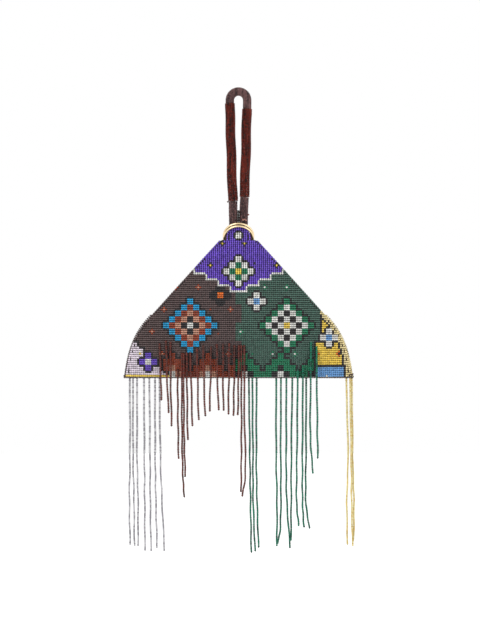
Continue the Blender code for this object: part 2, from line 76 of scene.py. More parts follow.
# The solids' own sizes, which the form of the cloth follows
RING_HEIGHT = -0.1405
RING_DIAMETER = 0.0315
RING_WIRE = 0.0022
RING_TILT = math.radians(35)
RING_PITCH = 0.0025
RING_DROP = 0.0027
PANEL_THICKNESS = 0.0024
LINING_THICKNESS = 0.0005
LINING_INSET = 0.006
LINING_GAP = 0.0005
NECK_RISE = 0.0095
NECK_CLEARANCE = 0.00135
BAG_DEPTH_PLACE = -0.0006
PANEL_HEIGHT = 0.1501
PANEL_HALF_WIDTH = 0.1129
NOTCH_RISE = 0.0606
NOTCH_HALF_WIDTH = 0.0874
CORNER_LEAN = 0.0090
SHOULDER_HALF_WIDTH = 0.0150
FRONT_FLARE = 0.0015
BACK_FLARE = 0.0050
SEAM_GAP = 0.0009
MOUTH_GAP = 0.0032
NECK_GAP = 0.0016
BELLY = 0.0095
BELLY_BELOW = 0.060
BELLY_ABOVE = 0.085
BELLY_SIDE_CURVE = 2.2
BELLY_BOTTOM_CURVE = 2.5
MOUTH_RUN = 0.018
NECK_RUN = 0.018
EDGING_HALF_THICKNESS = 0.0008
EDGING_HALF_DEPTH = 0.0029
EDGING_PITCH = 0.00165
GAP = 0.0003

# The handle's rope and the beads sewn round it
ROPE_RADIUS = 0.0021
GRIP_RADIUS = 0.0046
BEND_RADIUS = 0.0040
END_RADIUS = 0.0043
LOOP_HALF_WIDTH = 0.0087
LEGS_HALF_WIDTH = 0.0051
LEGS_HEIGHT = -0.125
LEGS_CURVE = 1.6
LEFT_BEND_END = -0.0075
RIGHT_BEND_END = -0.0131
LEFT_GRIP_END = -0.1055
RIGHT_GRIP_END = -0.1015
ROPE_BELOW_RINGS = 0.014
PROUD = 0.0003
LEG_SWAY = 0.0007
LEG_WAVES = 17.0

LEG_STEP = 3 * MM
BEND_STEPS = 24

CHART_SQUARE = 0.006

# The last bead of a row is right at the edge, and the next one this share of the pitch inside
LEAST_BESIDE_EDGE = 0.7

# Cloth that is turned over the neck's two side edges
PIPING_DIAMETER = 0.0021
PIPING_RISE = 0.0040
PIPING_STEPS = 8
PIPING_OVERHANG = 0.15

# Shape of a bead: its rows of points, and how much its shoulders are rounded
BEAD_ROWS = 4
BEAD_ROUNDNESS = 1.4

# Sides, size variation and wobble of the beads on strands, on sleeves and on their own
STRAND_BEADS = 7, 0.08, 0.07
SLEEVE_BEADS = 7, 0.08, 0.08
SINGLE_BEADS = 8, 0.05, 0.5

# How a bead's one random tone spreads into its depth of colour and into its polish
TONE_SPREAD = 7.31
POLISH_SPREAD = 0.12

# A stitch of the edging, and the sleeves' beads in shares of their diameter
EDGING_BEAD_DIAMETER = 1.7 * MM
EDGING_BEAD_LENGTH = 1.4 * MM
STITCH_BEADS = 4
STITCH_REACH = 0.78
SLEEVE_SINK = 0.35
COLUMN_SHARE = 0.97

MERGE_DISTANCE = 0.02 * MM
# How dark the painted shade and dark reflection on the inner half of the rings' wire gets at most
MOST_PAINTED_SHADE = 0.9
MOST_PRESSED = 0.45
PLY_OVERLAP = 1.04
CAMERA_PLACE = (0.0015, -0.2245)
LAMP_AIM = Vector((0, 0, -0.24))
FLOOR_RADIUS = 4.0
FLOOR_GLOW = 0.75

PANEL_TOP = RING_HEIGHT + NECK_RISE
PANEL_BOTTOM = PANEL_TOP - PANEL_HEIGHT
NOTCH_HEIGHT = PANEL_BOTTOM + NOTCH_RISE
BAG_BOTTOM = PANEL_BOTTOM - GAP - 2 * EDGING_HALF_THICKNESS
BEND_CENTRE = BEND_RADIUS - LOOP_HALF_WIDTH
ROPE_END = RING_HEIGHT - ROPE_BELOW_RINGS
BEADS_END = PANEL_TOP + GAP
WIRE_CIRCLE = (RING_DIAMETER - RING_WIRE) / 2
RING_OFFSET = Vector(
    (
        0,
        -RING_PITCH * math.cos(RING_TILT)
        + (RING_DROP - RING_PITCH * math.sin(RING_TILT)) * math.tan(RING_TILT),
        -RING_DROP,
    )
)
UPPER_RING_CENTRE = Vector((0, -RING_OFFSET.y / 2, RING_HEIGHT))
LOWER_RING_CENTRE = UPPER_RING_CENTRE + RING_OFFSET

# How fast the depth of a bead colour drifts along X, Y and Z, in steps for each metre
EVEN = (120.0, 120.0, 120.0)
UPRIGHT_STREAKS = (520.0, 120.0, 45.0)
LEVEL_STREAKS = (45.0, 120.0, 520.0)
GREY = (0.5, 0.5, 0.5, 1)

# Bead colours, linear
COLOURS = {
    "purple": (0.145, 0.066, 0.55),
    "taupe": (0.098, 0.062, 0.060),
    "grey_green": (0.055, 0.130, 0.098),
    "bright_green": (0.004, 0.20, 0.09),
    "yellow": (0.92, 0.66, 0.09),
    "cream": (0.86, 0.72, 0.36),
    "sky": (0.16, 0.38, 0.72),
    "lavender": (0.82, 0.73, 0.82),
    "cyan": (0.004, 0.36, 0.68),
    "rust": (0.30, 0.045, 0.012),
    "orange": (0.79, 0.16, 0.008),
    "peach": (0.60, 0.30, 0.20),
    "black": (0.012, 0.010, 0.012),
    "white": (0.80, 0.80, 0.76),
}

# The pieces that the fields of the front belong to, but for the right-hand ones
FIELD_OF_GROUND = {"purple": 0, "taupe": 1, "lavender": 1}

# Each nested diamond of the chart: its centre square, then its colours from the middle out
DIAMONDS = (
    (-8, 8, ("white", "black", "peach", "rust", "cyan")),
    (8, 8, ("yellow", "white", "black", "white", "bright_green")),
    (0, 17, ("yellow", "bright_green", "white")),
    (0, 23, ("white",)),
    (-3, 13, ("orange", "black")),
    (3, 12, ("sky", "white")),
    (-15, 2, ("white", "purple")),
    (15, 6, ("sky", "white")),
)

# The row of peaks along the bottom, from the middle of each peak's foot out
PEAK_SPACING = 6
LEFT_PEAKS = ("white", "peach", "rust", "rust")
RIGHT_PEAKS = ("white", "black", "bright_green", "bright_green")

# Lines one bead wide along the edge of each field, and the sprigs strewn on it
FIELD_LINES = {
    "purple": "white",
    "lavender": "black",
    "yellow": "black",
    "sky": "black",
    "taupe": None,
    "grey_green": None,
}
SPRIGS = {
    "purple": ("yellow", "black"),
    "taupe": ("peach", "rust"),
    "grey_green": ("white", "bright_green"),
    "lavender": ("yellow", "white"),
    "yellow": ("black", "orange"),
    "sky": ("white", "sky"),
}
HEMS = {"lavender": "yellow"}
SPRIG_SPACING = 11
SPRIG_LEAN = 5

# A band of pale beads along the right-hand corner fields, and the dark line inside it, in beads
BAND_WIDTH = 2.5

# Each strand's route in millimetres, as x and z in turn from its top end to its last bead. Five
# numbers are a long strand: x at the three shared heights, then x and z of its last bead.
LONG_HEIGHTS = (-283.3, -359.5, -404.5)
WHITE_STRANDS = (
    (-108.8, -108.7, -109.2, -108.5, -448.5),
    (-105.5, -105.4, -104.5, -104, -449.5),
    (-101.5, -101.5, -100.5, -100.5, -449.5),
    (-94.5, -94.1, -93.8, -93.5, -454),
    (-89.3, -88.5, -88.3, -87.5, -454.5),
    (-83.5, -83.3, -82.6, -81.5, -451.5),
    (-79.1, -78.2, -76.6, -74.1, -454.5),
)
BROWN_STRANDS = (
    (-78.7, -248.5, -77.6, -276, -76.9, -303.5),
    (-72.3, -246, -71, -284, -69.7, -316),
    (-67.8, -247.2, -67.5, -290, -66.6, -329.3),
    (-60.7, -274.5, -60.4, -318, -59.7, -361.9),
    (-56.5, -258.5, -56.3, -330, -55.6, -375, -54.1, -400.1),
    (-54.6, -258.5, -54.4, -320, -53.9, -350, -52.9, -379.7),
    (-51.5, -257.5, -51.2, -300, -50.6, -343),
    (-48, -257.1, -46.9, -295, -45.8, -329),
    (-41.3, -253.5, -40.6, -290, -39.7, -323.1),
    (-35.2, -250.5, -34.4, -286, -33.1, -319.1),
    (-27.4, -251.5, -27.9, -284, -28.8, -314.5),
    (-21.7, -249.5, -20.9, -283, -19.9, -313.2),
    (-15.5, -248.8, -15.4, -282, -15, -313.7),
    (-9.3, -248.5, -9.6, -284, -10.2, -317.3),
    (-4.1, -250.5, -4.4, -286, -5.1, -318.8),
    (0.3, -250.5, -0.1, -285, -0.7, -318),
    (2.9, -250.5, 2.9, -320, 2.8, -360, 2.5, -394.5),
    (5.7, -250.5, 5.9, -320, 6.9, -365, 6.2, -385, 3.6, -398.9),
)
GREEN_STRANDS = (
    (10.3, 11.3, 11.9, 12.8, -456.3),
    (13.8, 14.4, 14.6, 16.5, -454.7),
    (18.1, 17.8, 18.5, 20, -451.2),
    (37.7, 37.6, 38.4, 38.3, -449.5),
    (42.4, -283.3, 42.2, -359.5, 42.4, -404.5, 41.6, -434.5, 39, -447.5),
    (47.8, 47.6, 48.2, 51.5, -451.5),
    (53.8, 52.8, 52.7, 52.4, -444.3),
    (59.1, -274.5, 58.1, -359.5, 57.8, -404.5, 59.9, -428.7),
    (64.2, -274, 63.7, -359.5, 63.8, -404.5, 65.1, -430.3),
    (67.6, 67.4, 67.2, 70.7, -431.9),
    (72.2, -247.5, 71.4, -320, 72, -350, 74.2, -376.5),
    (77.7, -251.5, 78.2, -310, 78.5, -340, 79, -361.4),
)
YELLOW_STRANDS = (
    (107.8, 109.5, 108.3, 109, -448.3),
    (111.5, 112.6, 113, 114, -449.5),
    (113.3, 114.2, 115.4, 115.2, -444.5),
)
STRAND_ROW = 0.0011
STRAND_STEP = 0.030
STRAND_POINTS = 32
SWING_LENGTHS = 30, 50
SOLID_STRAND_RADIUS = 0.85 * MM
KNOT_DROP = 0.55

# The fringe's groups: strands, bead colours, share of the second one, roughness and thread
FRINGE = (
    ("white", WHITE_STRANDS, (0.60, 0.59, 0.61), (0.34, 0.33, 0.36), 0.5, 0.3, "pale"),
    ("brown", BROWN_STRANDS, (0.125, 0.022, 0.014), (0.07, 0.020, 0.014), 0.35, 0.4, "dark"),
    ("green", GREEN_STRANDS, (0.004, 0.17, 0.095), (0.004, 0.075, 0.048), 0.25, 0.35, "dark"),
    ("yellow", YELLOW_STRANDS, (0.88, 0.75, 0.34), (0.80, 0.60, 0.20), 0.3, 0.35, "pale"),
)

# Dark beads fill the gap between the legs this far up from the sleeves' lower ends. They spread
# over this share of the legs' reach, some steps in front of the legs' middle and some
# millimetres behind it.
LEG_GAP_HEIGHT = 0.0165
LEG_GAP_SPREAD = 0.36
LEG_GAP_STEP = 0.9
LEG_GAP_FRONT = 2.2
LEG_GAP_BACK = 1.8

# Stray beads at the ends of the handle's sleeves, and the knots of beads at the bag's two lower
# corners, as (x, y, z) in millimetres
STRAY_BEADS = ((-1.2, -1.6, -102.6), (-10.6, -1.2, -106.4), (10.0, -1.0, -119.2))
TAN_BEADS = ((4.6, -4.9, -124.6), (6.1, -5.1, -124.2), (7.5, -4.5, -124.9))
CORNER_BEADS = (
    (110.5, -3.6, -280.2),
    (112.3, -3.4, -280.6),
    (114.0, -2.6, -280.4),
    (113.2, -3.7, -278.9),
    (111.6, -4.3, -279.0),
    (114.4, -1.2, -281.2),
    (112.6, -2.0, -282.2),
    (114.2, -2.4, -278.4),
    (-113.2, -3.0, -281.0),
    (-114.3, -1.4, -280.4),
)


def smooth_step(share):
    share = min(max(share, 0), 1)
    return share * share * (3 - 2 * share)


def mix(start, end, share):
    return start + (end - start) * share


# Form of the cloth, as in the solids


def behind_ring(depth, clearance):
    """Half width inside the lower ring's wire behind a face at this depth, and the height below
    which the wire is clear of that face."""
    down = (depth + GAP + RING_WIRE / 2 - LOWER_RING_CENTRE.y) / math.sin(RING_TILT)
    across = math.sqrt(max(WIRE_CIRCLE**2 - down**2, 0))
    height = LOWER_RING_CENTRE.z - down * math.cos(RING_TILT)
    return across - RING_WIRE / 2 - clearance, height - RING_WIRE / 2 - GAP


FRONT_NECK_HALF = WIRE_CIRCLE - RING_WIRE / 2 - NECK_CLEARANCE
FRONT_NECK_FOOT = behind_ring(BAG_DEPTH_PLACE - NECK_GAP, 0)[1]
BACK_NECK_HALF, BACK_NECK_FOOT = behind_ring(
    BAG_DEPTH_PLACE + NECK_GAP + PANEL_THICKNESS, NECK_CLEARANCE / 2
)
FRONT = {"half": FRONT_NECK_HALF, "foot": FRONT_NECK_FOOT, "flare": FRONT_FLARE, "side": -1}
BACK = {"half": BACK_NECK_HALF, "foot": BACK_NECK_FOOT, "flare": BACK_FLARE, "side": 1}


def shoulder(height):
    """Half width of a panel: straight slopes down to the notches, then round to the corners."""
    if height > NOTCH_HEIGHT:
        share = (RING_HEIGHT - height) / (RING_HEIGHT - NOTCH_HEIGHT)
        return mix(SHOULDER_HALF_WIDTH, NOTCH_HALF_WIDTH, share)
    share = (height - PANEL_BOTTOM) / NOTCH_RISE
    drawn_in = PANEL_HALF_WIDTH - NOTCH_HALF_WIDTH - CORNER_LEAN
    return PANEL_HALF_WIDTH - CORNER_LEAN * share - drawn_in * share**3


def half_width(height, panel):
    """The panel's half width, with the round tip of the neck that goes through the rings."""
    tip_centre = PANEL_TOP - NECK_RISE - RING_WIRE / 2
    if height > tip_centre:
        share = min((height - tip_centre) / (PANEL_TOP - tip_centre), 1)
        return panel["half"] * math.sqrt(1 - share**2)
    flared = smooth_step((panel["foot"] - height) / panel["flare"])
    return mix(panel["half"], shoulder(height), flared)


def half_gap(x, height):
    """Half the space between the two panels."""
    opened = smooth_step((height - NOTCH_HEIGHT) / MOUTH_RUN)
    necked = smooth_step((height - BACK_NECK_FOOT + NECK_RUN) / NECK_RUN)
    edge = mix(mix(SEAM_GAP, MOUTH_GAP, opened), NECK_GAP, necked)
    across = min(abs(x) / shoulder(height), 1)
    from_full = 1 - min((height - PANEL_BOTTOM) / BELLY_BELOW, 1)
    below = 1 - from_full**BELLY_BOTTOM_CURVE
    above = smooth_step((BACK_NECK_FOOT - BACK_FLARE - height) / BELLY_ABOVE)
    return mix(edge, BELLY, (1 - across**BELLY_SIDE_CURVE) * below * above)


def on_panel(x, height, panel, offset):
    """The point this far out from the inner face of a panel."""
    depth = BAG_DEPTH_PLACE + panel["side"] * (half_gap(x, height) + offset)
    return Vector((x, depth, height))


def directions_on(x, height, panel):
    """Along the row, up the column and out of the face, at a place on a panel."""
    step = 0.4 * MM
    low = max(height - step, PANEL_BOTTOM)
    along = on_panel(x + step, height, panel, 0) - on_panel(x - step, height, panel, 0)
    up = on_panel(x, low + 2 * step, panel, 0) - on_panel(x, low, panel, 0)
    out = along.cross(up) * -panel["side"]
    return along.normalized(), up.normalized(), out.normalized()


# The beadwork's chart


def ground_colour(column, row):
    """The fields of colour that the motifs lie on."""
    reach = abs(column)
    if row > 13 + reach / 2:
        return "purple"
    if -column > 11 + row:
        return "lavender"
    if column > 12 + row // 6:
        return "sky" if row < 2 else "yellow"
    return "taupe" if column < (row // 3) % 2 else "grey_green"


def motif_colour(column, row):
    """The motif's colour in a square of the chart, or None on the ground."""
    for middle, middle_row, rings in DIAMONDS:
        ring = abs(column - middle) + abs(row - middle_row)
        if ring < len(rings):
            return rings[ring]
    if ground_colour(column, row) in ("taupe", "grey_green"):
        step = row + abs((column + 2) % PEAK_SPACING - PEAK_SPACING // 2)
        peaks = LEFT_PEAKS if column < 0 else RIGHT_PEAKS
        if step < len(peaks):
            return peaks[step]
    return None


def square_at(x, height):
    column = round(x / CHART_SQUARE)
    row = math.floor((height - PANEL_BOTTOM) / CHART_SQUARE)
    return column, row


def colour_at(x, height, pitch):
    """The colour of one bead: the chart's square, with lines one bead wide where fields and
    motifs meet, and small sprigs on the open ground."""
    square = square_at(x, height)
    motif = motif_colour(*square)
    if motif:
        return motif
    ground = ground_colour(*square)
    if ground in HEMS and height < PANEL_BOTTOM + pitch:
        return HEMS[ground]
    if ground in ("yellow", "sky"):
        inwards = (half_width(height, FRONT) - x) / pitch
        if inwards < BAND_WIDTH + 1:
            return "cream" if inwards < BAND_WIDTH else "black"
    steps = ((pitch, 0), (-pitch, 0), (0, pitch), (0, -pitch))
    beside = [square_at(x + dx, height + dz) for dx, dz in steps]
    fields = {ground_colour(*other) for other in beside} - {ground}
    if ground == "yellow":
        fields.discard("sky")
    if FIELD_LINES[ground] and fields:
        return FIELD_LINES[ground]
    if any(motif_colour(*other) for other in beside):
        return "black"
    return sprig_colour(x, height, pitch, ground)


def sprig_colour(x, height, pitch, ground):
    """A cross of five beads at each knot of a slanted lattice, where its whole square is open."""
    column = round(x / pitch)
    row = math.floor((height - PANEL_BOTTOM) / pitch)
    line = round(row / SPRIG_SPACING)
    place = (column + SPRIG_LEAN * line) % SPRIG_SPACING
    across = min(place, SPRIG_SPACING - place)
    away = across + abs(row - line * SPRIG_SPACING)
    if away > 1:
        return ground
    reach = 2 * pitch
    round_about = [(reach, reach), (-reach, reach), (reach, -reach), (-reach, -reach)]
    for dx, dz in round_about:
        other = square_at(x + dx, height + dz)
        if motif_colour(*other) or ground_colour(*other) != ground:
            return ground
    return SPRIGS[ground][away]


# Node trees


class Net:
    """A node tree in the making. Each method returns an output of the node that it adds."""

    def __init__(self, tree):
        self.tree = tree
        self.link = tree.links.new

    def add(self, kind, *values, output=0, inputs=None, **named):
        """A node. Plain values fill its inputs from the first on. Named ones are inputs if they
        start with a capital, and settings otherwise."""
        made = self.tree.nodes.new(kind)
        filled = {**dict(enumerate(values)), **(inputs or {})}
        for name, value in named.items():
            if name[0].isupper():
                filled[name.replace("_", " ")] = value
            else:
                setattr(made, name, value)
        for key, value in filled.items():
            if isinstance(value, bpy.types.NodeSocket):
                self.link(value, made.inputs[key])
            else:
                made.inputs[key].default_value = value
        return made.outputs[output]

    def geo(self, kind, *values, **named):
        return self.add(f"GeometryNode{kind}", *values, **named)

    def shader(self, kind, *values, **named):
        return self.add(f"ShaderNode{kind}", *values, **named)

    def math(self, operation, first, second=0.0):
        return self.shader("Math", first, second, operation=operation)

    def plus(self, first, second):
        return self.math("ADD", first, second)

    def minus(self, first, second):
        return self.math("SUBTRACT", first, second)

    def times(self, first, second):
        return self.math("MULTIPLY", first, second)

    def vector(self, x, y, z):
        return self.shader("CombineXYZ", x, y, z)

    def random(self, low, high, seed):
        values = {2: low, 3: high, "Seed": seed}
        return self.add("FunctionNodeRandomValue", output=1, inputs=values, data_type="FLOAT")

    def attribute(self, name, kind="FLOAT_VECTOR"):
        return self.geo("InputNamedAttribute", Name=name, data_type=kind)

    def store(self, geometry, name, value, kind="FLOAT_VECTOR", domain="POINT"):
        node = "StoreNamedAttribute"
        return self.geo(node, geometry, Name=name, Value=value, data_type=kind, domain=domain)

    def resample(self, curve, step):
        return self.geo("ResampleCurve", curve, Length=step, mode="LENGTH")

    def circle(self, count, radius):
        return self.geo("CurvePrimitiveCircle", Resolution=count, Radius=radius)

    def sweep(self, curve, section, caps=True):
        return self.geo("CurveToMesh", curve, section, Fill_Caps=caps)

    def realise(self, geometry):
        return self.geo("RealizeInstances", geometry)

    def join(self, *parts):
        joined = self.tree.nodes.new("GeometryNodeJoinGeometry")
        for part in parts:
            self.link(part, joined.inputs[0])
        return joined.outputs[0]

    def place(self):
        return self.shader("TexCoord", output="Object")

    def noise(self, place, scale, detail=2.0):
        return self.shader("TexNoise", place, Scale=scale, Detail=detail, output="Fac")

    def map_range(self, *values):
        """Of a value, the range that it comes from and the one that it goes to."""
        return self.shader("MapRange", *values, output="Result")

    def mix(self, share, first, second, blend="MIX"):
        colours = {0: share, 6: first, 7: second}
        return self.shader("Mix", inputs=colours, output=2, data_type="RGBA", blend_type=blend)

    def shaded(self, colour, depth):
        grey = self.shader("CombineColor", depth, depth, depth)
        return self.mix(1.0, colour, grey, "MULTIPLY")

    def end(self, **results):
        """Ends a group with its results and lays its nodes out."""
        last = self.tree.nodes.new("NodeGroupOutput")
        for label, socket in results.items():
            self.link(socket, last.inputs[label])
        for place, made in enumerate(self.tree.nodes):
            made.location = (200 * (place % 8), -240 * (place // 8))
        return self.tree


def new_group(kind, name, inputs, outputs=(("Geometry", "Geometry"),)):
    """A node group. Each input is its name, socket type and default, each output the first two."""
    tree = bpy.data.node_groups.new(name, f"{kind}NodeTree")
    for label, socket in outputs:
        tree.interface.new_socket(label, in_out="OUTPUT", socket_type=f"NodeSocket{socket}")
    for label, socket, default in inputs:
        made = tree.interface.new_socket(label, in_out="INPUT", socket_type=f"NodeSocket{socket}")
        if default is not None:
            made.default_value = default
    return Net(tree), tree.nodes.new("NodeGroupInput").outputs


GEOMETRY = ("Geometry", "Geometry", None)
BEAD_INPUTS = (
    ("Bead Diameter", "Float", 1.8 * MM),
    ("Bead Length", "Float", 1.75 * MM),
    ("Sides", "Int", 6),
)
THREADING_INPUTS = (
    *BEAD_INPUTS,
    ("Size Variation", "Float", 0.05),
    ("Wobble", "Float", 0.06),
    ("Seed", "Int", 1),
    ("Bead Material", "Material", None),
)
THREADING = [label for label, *_ in THREADING_INPUTS]


def threading(*values):
    """Values for the threading inputs, in their order."""
    return dict(zip(THREADING, values))


def build_single_bead():
    """A barrel with rounded shoulders, its hole along Z."""
    net, given = new_group("Geometry", "single bead", BEAD_INPUTS)
    half, back = (net.times(given["Bead Length"], share) for share in (0.5, -0.5))
    ends = net.vector(0.0, 0.0, back), net.vector(0.0, 0.0, half)
    rows = net.geo("ResampleCurve", net.geo("CurvePrimitiveLine", *ends), Count=BEAD_ROWS)
    along = net.geo("SplineParameter", output="Factor")
    away = net.times(net.minus(along, 0.5), BEAD_ROUNDNESS)
    rounded = net.math("SQRT", net.minus(1.0, net.times(away, away)))
    section = net.circle(given["Sides"], net.times(given["Bead Diameter"], 0.5))
    swept = net.sweep(net.geo("SetCurveRadius", rows, Radius=rounded), section)
    if "Scale" in swept.node.inputs:
        net.link(rounded, swept.node.inputs["Scale"])
    return net.end(Geometry=net.geo("SetShadeSmooth", swept))


def build_threaded_beads(single_bead):
    """A bead on every point, its hole along the point's string direction. Each bead gets a tone
    of its own for the shader."""
    net, given = new_group("Geometry", "threaded beads", (GEOMETRY, *THREADING_INPUTS))
    axes = net.attribute("string"), net.attribute("out")
    turned = net.add("FunctionNodeAxesToRotation", *axes, primary_axis="Z", secondary_axis="Y")
    seeds = [given["Seed"], *(net.plus(given["Seed"], step) for step in (1.0, 2.0, 3.0))]
    least = net.times(given["Wobble"], -1.0)
    lean, lift = (net.random(least, given["Wobble"], seed) for seed in seeds[:2])
    leaning = net.add("FunctionNodeEulerToRotation", net.vector(lift, lean, 0.0))
    size = net.random(net.minus(1.0, given["Size Variation"]), 1.0, seeds[2])
    sizes = {label: given[label] for label, *_ in BEAD_INPUTS}
    placed = net.geo(
        "InstanceOnPoints",
        given["Geometry"],
        Instance=net.geo("Group", inputs=sizes, node_tree=single_bead),
        Rotation=net.add("FunctionNodeRotateRotation", turned, leaning, rotation_space="LOCAL"),
        Scale=net.vector(size, size, size),
    )
    tone = net.random(0.0, 1.0, seeds[3])
    beads = net.realise(net.store(placed, "bead_tone", tone, "FLOAT", "INSTANCE"))
    for name in ("string", "out"):
        beads = net.geo("RemoveAttribute", beads, Name=name)
    return net.end(Geometry=net.geo("SetMaterial", beads, Material=given["Bead Material"]))


def threaded(net, given, geometry, threaded_beads):
    """The threading group inside another tree, with that tree's own inputs."""
    values = {label: given[label] for label in THREADING}
    return net.geo("Group", geometry, inputs=values, node_tree=threaded_beads)


def build_bead_sleeve(threaded_beads):
    """Columns of beads round a route, each string running along it."""
    inputs = (
        GEOMETRY,
        ("Sleeve Radius", "Float", 3.6 * MM),
        ("Columns", "Int", 12),
        ("Row Pitch", "Float", 1.6 * MM),
        *THREADING_INPUTS,
    )
    net, given = new_group("Geometry", "bead sleeve", inputs)
    rows = net.resample(net.geo("MeshToCurve", given["Geometry"]), given["Row Pitch"])
    strung = net.store(rows, "string", net.geo("InputTangent"))
    grid = net.sweep(strung, net.circle(given["Columns"], given["Sleeve Radius"]), caps=False)
    faced = net.store(grid, "out", net.geo("InputNormal"))
    return net.end(Geometry=threaded(net, given, faced, threaded_beads))


def build_bead_strand(threaded_beads):
    """Beads along a thread, with a knot below the last one."""
    inputs = (
        GEOMETRY,
        ("Bead Pitch", "Float", 1.7 * MM),
        ("Thread Diameter", "Float", 0.35 * MM),
        ("Knot Diameter", "Float", 0.9 * MM),
        ("Thread Material", "Material", None),
        *THREADING_INPUTS,
    )
    net, given = new_group("Geometry", "bead strand", inputs)
    curve = net.geo("MeshToCurve", given["Geometry"])
    places = net.resample(curve, given["Bead Pitch"])
    tangent = net.geo("InputTangent")
    faced = net.store(net.store(places, "string", tangent), "out", (0.0, -1.0, 0.0))
    beads = threaded(net, given, faced, threaded_beads)
    thread = net.sweep(curve, net.circle(5, net.times(given["Thread Diameter"], 0.5)))
    last = net.geo("CurveEndpointSelection", 0, 1)
    drop = net.times(given["Bead Length"], KNOT_DROP)
    below = net.shader("VectorMath", tangent, Scale=drop, operation="SCALE")
    ends = net.geo("SetPosition", places, last, Offset=below)
    ball = net.geo("MeshUVSphere", 8, 5, net.times(given["Knot Diameter"], 0.5))
    knots = net.geo("InstanceOnPoints", ends, last, ball)
    threads = net.geo("SetShadeSmooth", net.realise(net.join(thread, knots)))
    spun = net.geo("SetMaterial", threads, Material=given["Thread Material"])
    return net.end(Geometry=net.join(spun, beads))


def build_plied_rope():
    """Three plies twisted round each other along a route. Each point of the route says how flat
    the rope is pressed there."""
    inputs = (
        GEOMETRY,
        ("Rope Radius", "Float", ROPE_RADIUS),
        ("Turn Length", "Float", 14 * MM),
        ("Step", "Float", 1.0 * MM),
        ("Rope Material", "Material", None),
    )
    net, given = new_group("Geometry", "plied rope", inputs)
    fine = net.resample(net.geo("MeshToCurve", given["Geometry"]), given["Step"])
    turns = net.math("DIVIDE", net.geo("SplineParameter", output="Length"), given["Turn Length"])
    twisted = net.geo("SetCurveTilt", fine, Tilt=net.times(turns, 2 * math.pi))
    half = net.times(given["Rope Radius"], 0.5)
    ply = net.circle(10, net.times(half, PLY_OVERLAP))
    plies = net.geo("InstanceOnPoints", net.circle(3, half), Instance=ply)
    swept = net.sweep(twisted, net.realise(plies))
    x, y, z = net.shader("SeparateXYZ", net.geo("InputPosition")).node.outputs
    flat = net.attribute("flat", "FLOAT")
    kept = net.times(y, net.minus(1.0, flat))
    pressed = net.vector(x, net.plus(kept, net.times(flat, BAG_DEPTH_PLACE)), z)
    shaped = net.geo("SetPosition", swept, Position=pressed)
    rope = net.realise(net.geo("SetShadeSmooth", shaped))
    return net.end(Geometry=net.geo("SetMaterial", rope, Material=given["Rope Material"]))


def geometry_tree(name):
    """A tree by name. The first call builds them all."""
    if name not in bpy.data.node_groups:
        beads = build_threaded_beads(build_single_bead())
        build_bead_sleeve(beads)
        build_bead_strand(beads)
        build_plied_rope()
    return bpy.data.node_groups[name]


def in_scene(name, data):
    thing = bpy.data.objects.new(name, data)
    bpy.context.scene.collection.objects.link(thing)
    return thing


def settle(thing, body, slot_name, *nodes):
    """A finished piece rides on its body and stands for its solids. Its slot name is not used."""
    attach(thing, body)
    if nodes:
        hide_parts(*nodes)
    return thing


def grow(name, points, tree_name, values, slot_name, *nodes, joined=False, **attributes):
    """A piece of the bag that a geometry tree grows on bare points, or on one line through them.
    Each attribute has a tuple for each point. What the tree makes becomes a plain mesh."""
    mesh = bpy.data.meshes.new(name)
    edges = [(k, k + 1) for k in range(len(points) - 1)] if joined else []
    mesh.from_pydata([tuple(point) for point in points], edges, [])
    kinds = {1: ("FLOAT", "value"), 3: ("FLOAT_VECTOR", "vector"), 4: ("FLOAT_COLOR", "color")}
    for label, rows in attributes.items():
        kind, field = kinds[len(rows[0])]
        layer = mesh.attributes.new(label, kind, "POINT")
        layer.data.foreach_set(field, [part for row in rows for part in row])
    thing = in_scene(name, mesh)
    modifier = thing.modifiers.new(tree_name, "NODES")
    modifier.node_group = geometry_tree(tree_name)
    for item in modifier.node_group.interface.items_tree:
        if item.in_out == "INPUT" and item.name in values:
            modifier[item.identifier] = values[item.name]
    graph = bpy.context.evaluated_depsgraph_get()
    thing.data = bpy.data.meshes.new_from_object(
        thing.evaluated_get(graph), preserve_all_data_layers=True, depsgraph=graph
    )
    thing.modifiers.remove(modifier)
    thing.data.name = thing.name
    return settle(thing, "bag", slot_name, *nodes)


# Shader groups and materials


def bead_tone_group():
    """Sets each bead off from its neighbours: some take the other colour, all differ a little in
    depth, and the depth drifts over the piece as it does where a new hank was started."""
    if "bead tone" in bpy.data.node_groups:
        return bpy.data.node_groups["bead tone"]
    inputs = (
        ("Colour", "Color", GREY),
        ("Other Colour", "Color", GREY),
        ("Other Share", "Float", 0.1),
        ("Drift Scale", "Vector", EVEN),
        ("Drift", "Float", 0.2),
        ("Bead Contrast", "Float", 0.3),
        ("Roughness", "Float", 0.2),
    )
    outputs = (("Colour", "Color"), ("Roughness", "Float"))
    net, given = new_group("Shader", "bead tone", inputs, outputs)
    tone = net.shader("Attribute", output="Fac", attribute_name="bead_tone")
    place = net.shader("VectorMath", net.place(), given["Drift Scale"], operation="MULTIPLY")
    drift = net.minus(net.noise(place, 1.0), 0.5)
    is_other = net.math("LESS_THAN", net.plus(tone, drift), given["Other Share"])
    colour = net.mix(is_other, given["Colour"], given["Other Colour"])
    spread = net.math("FRACT", net.times(tone, TONE_SPREAD))
    by_bead = net.times(net.minus(spread, 0.5), given["Bead Contrast"])
    by_place = net.times(drift, net.times(given["Drift"], 2.0))
    depth = net.plus(net.plus(by_bead, by_place), 1.0)
    polish = net.plus(given["Roughness"], net.times(spread, POLISH_SPREAD))
    return net.end(Colour=net.shaded(colour, depth), Roughness=polish)


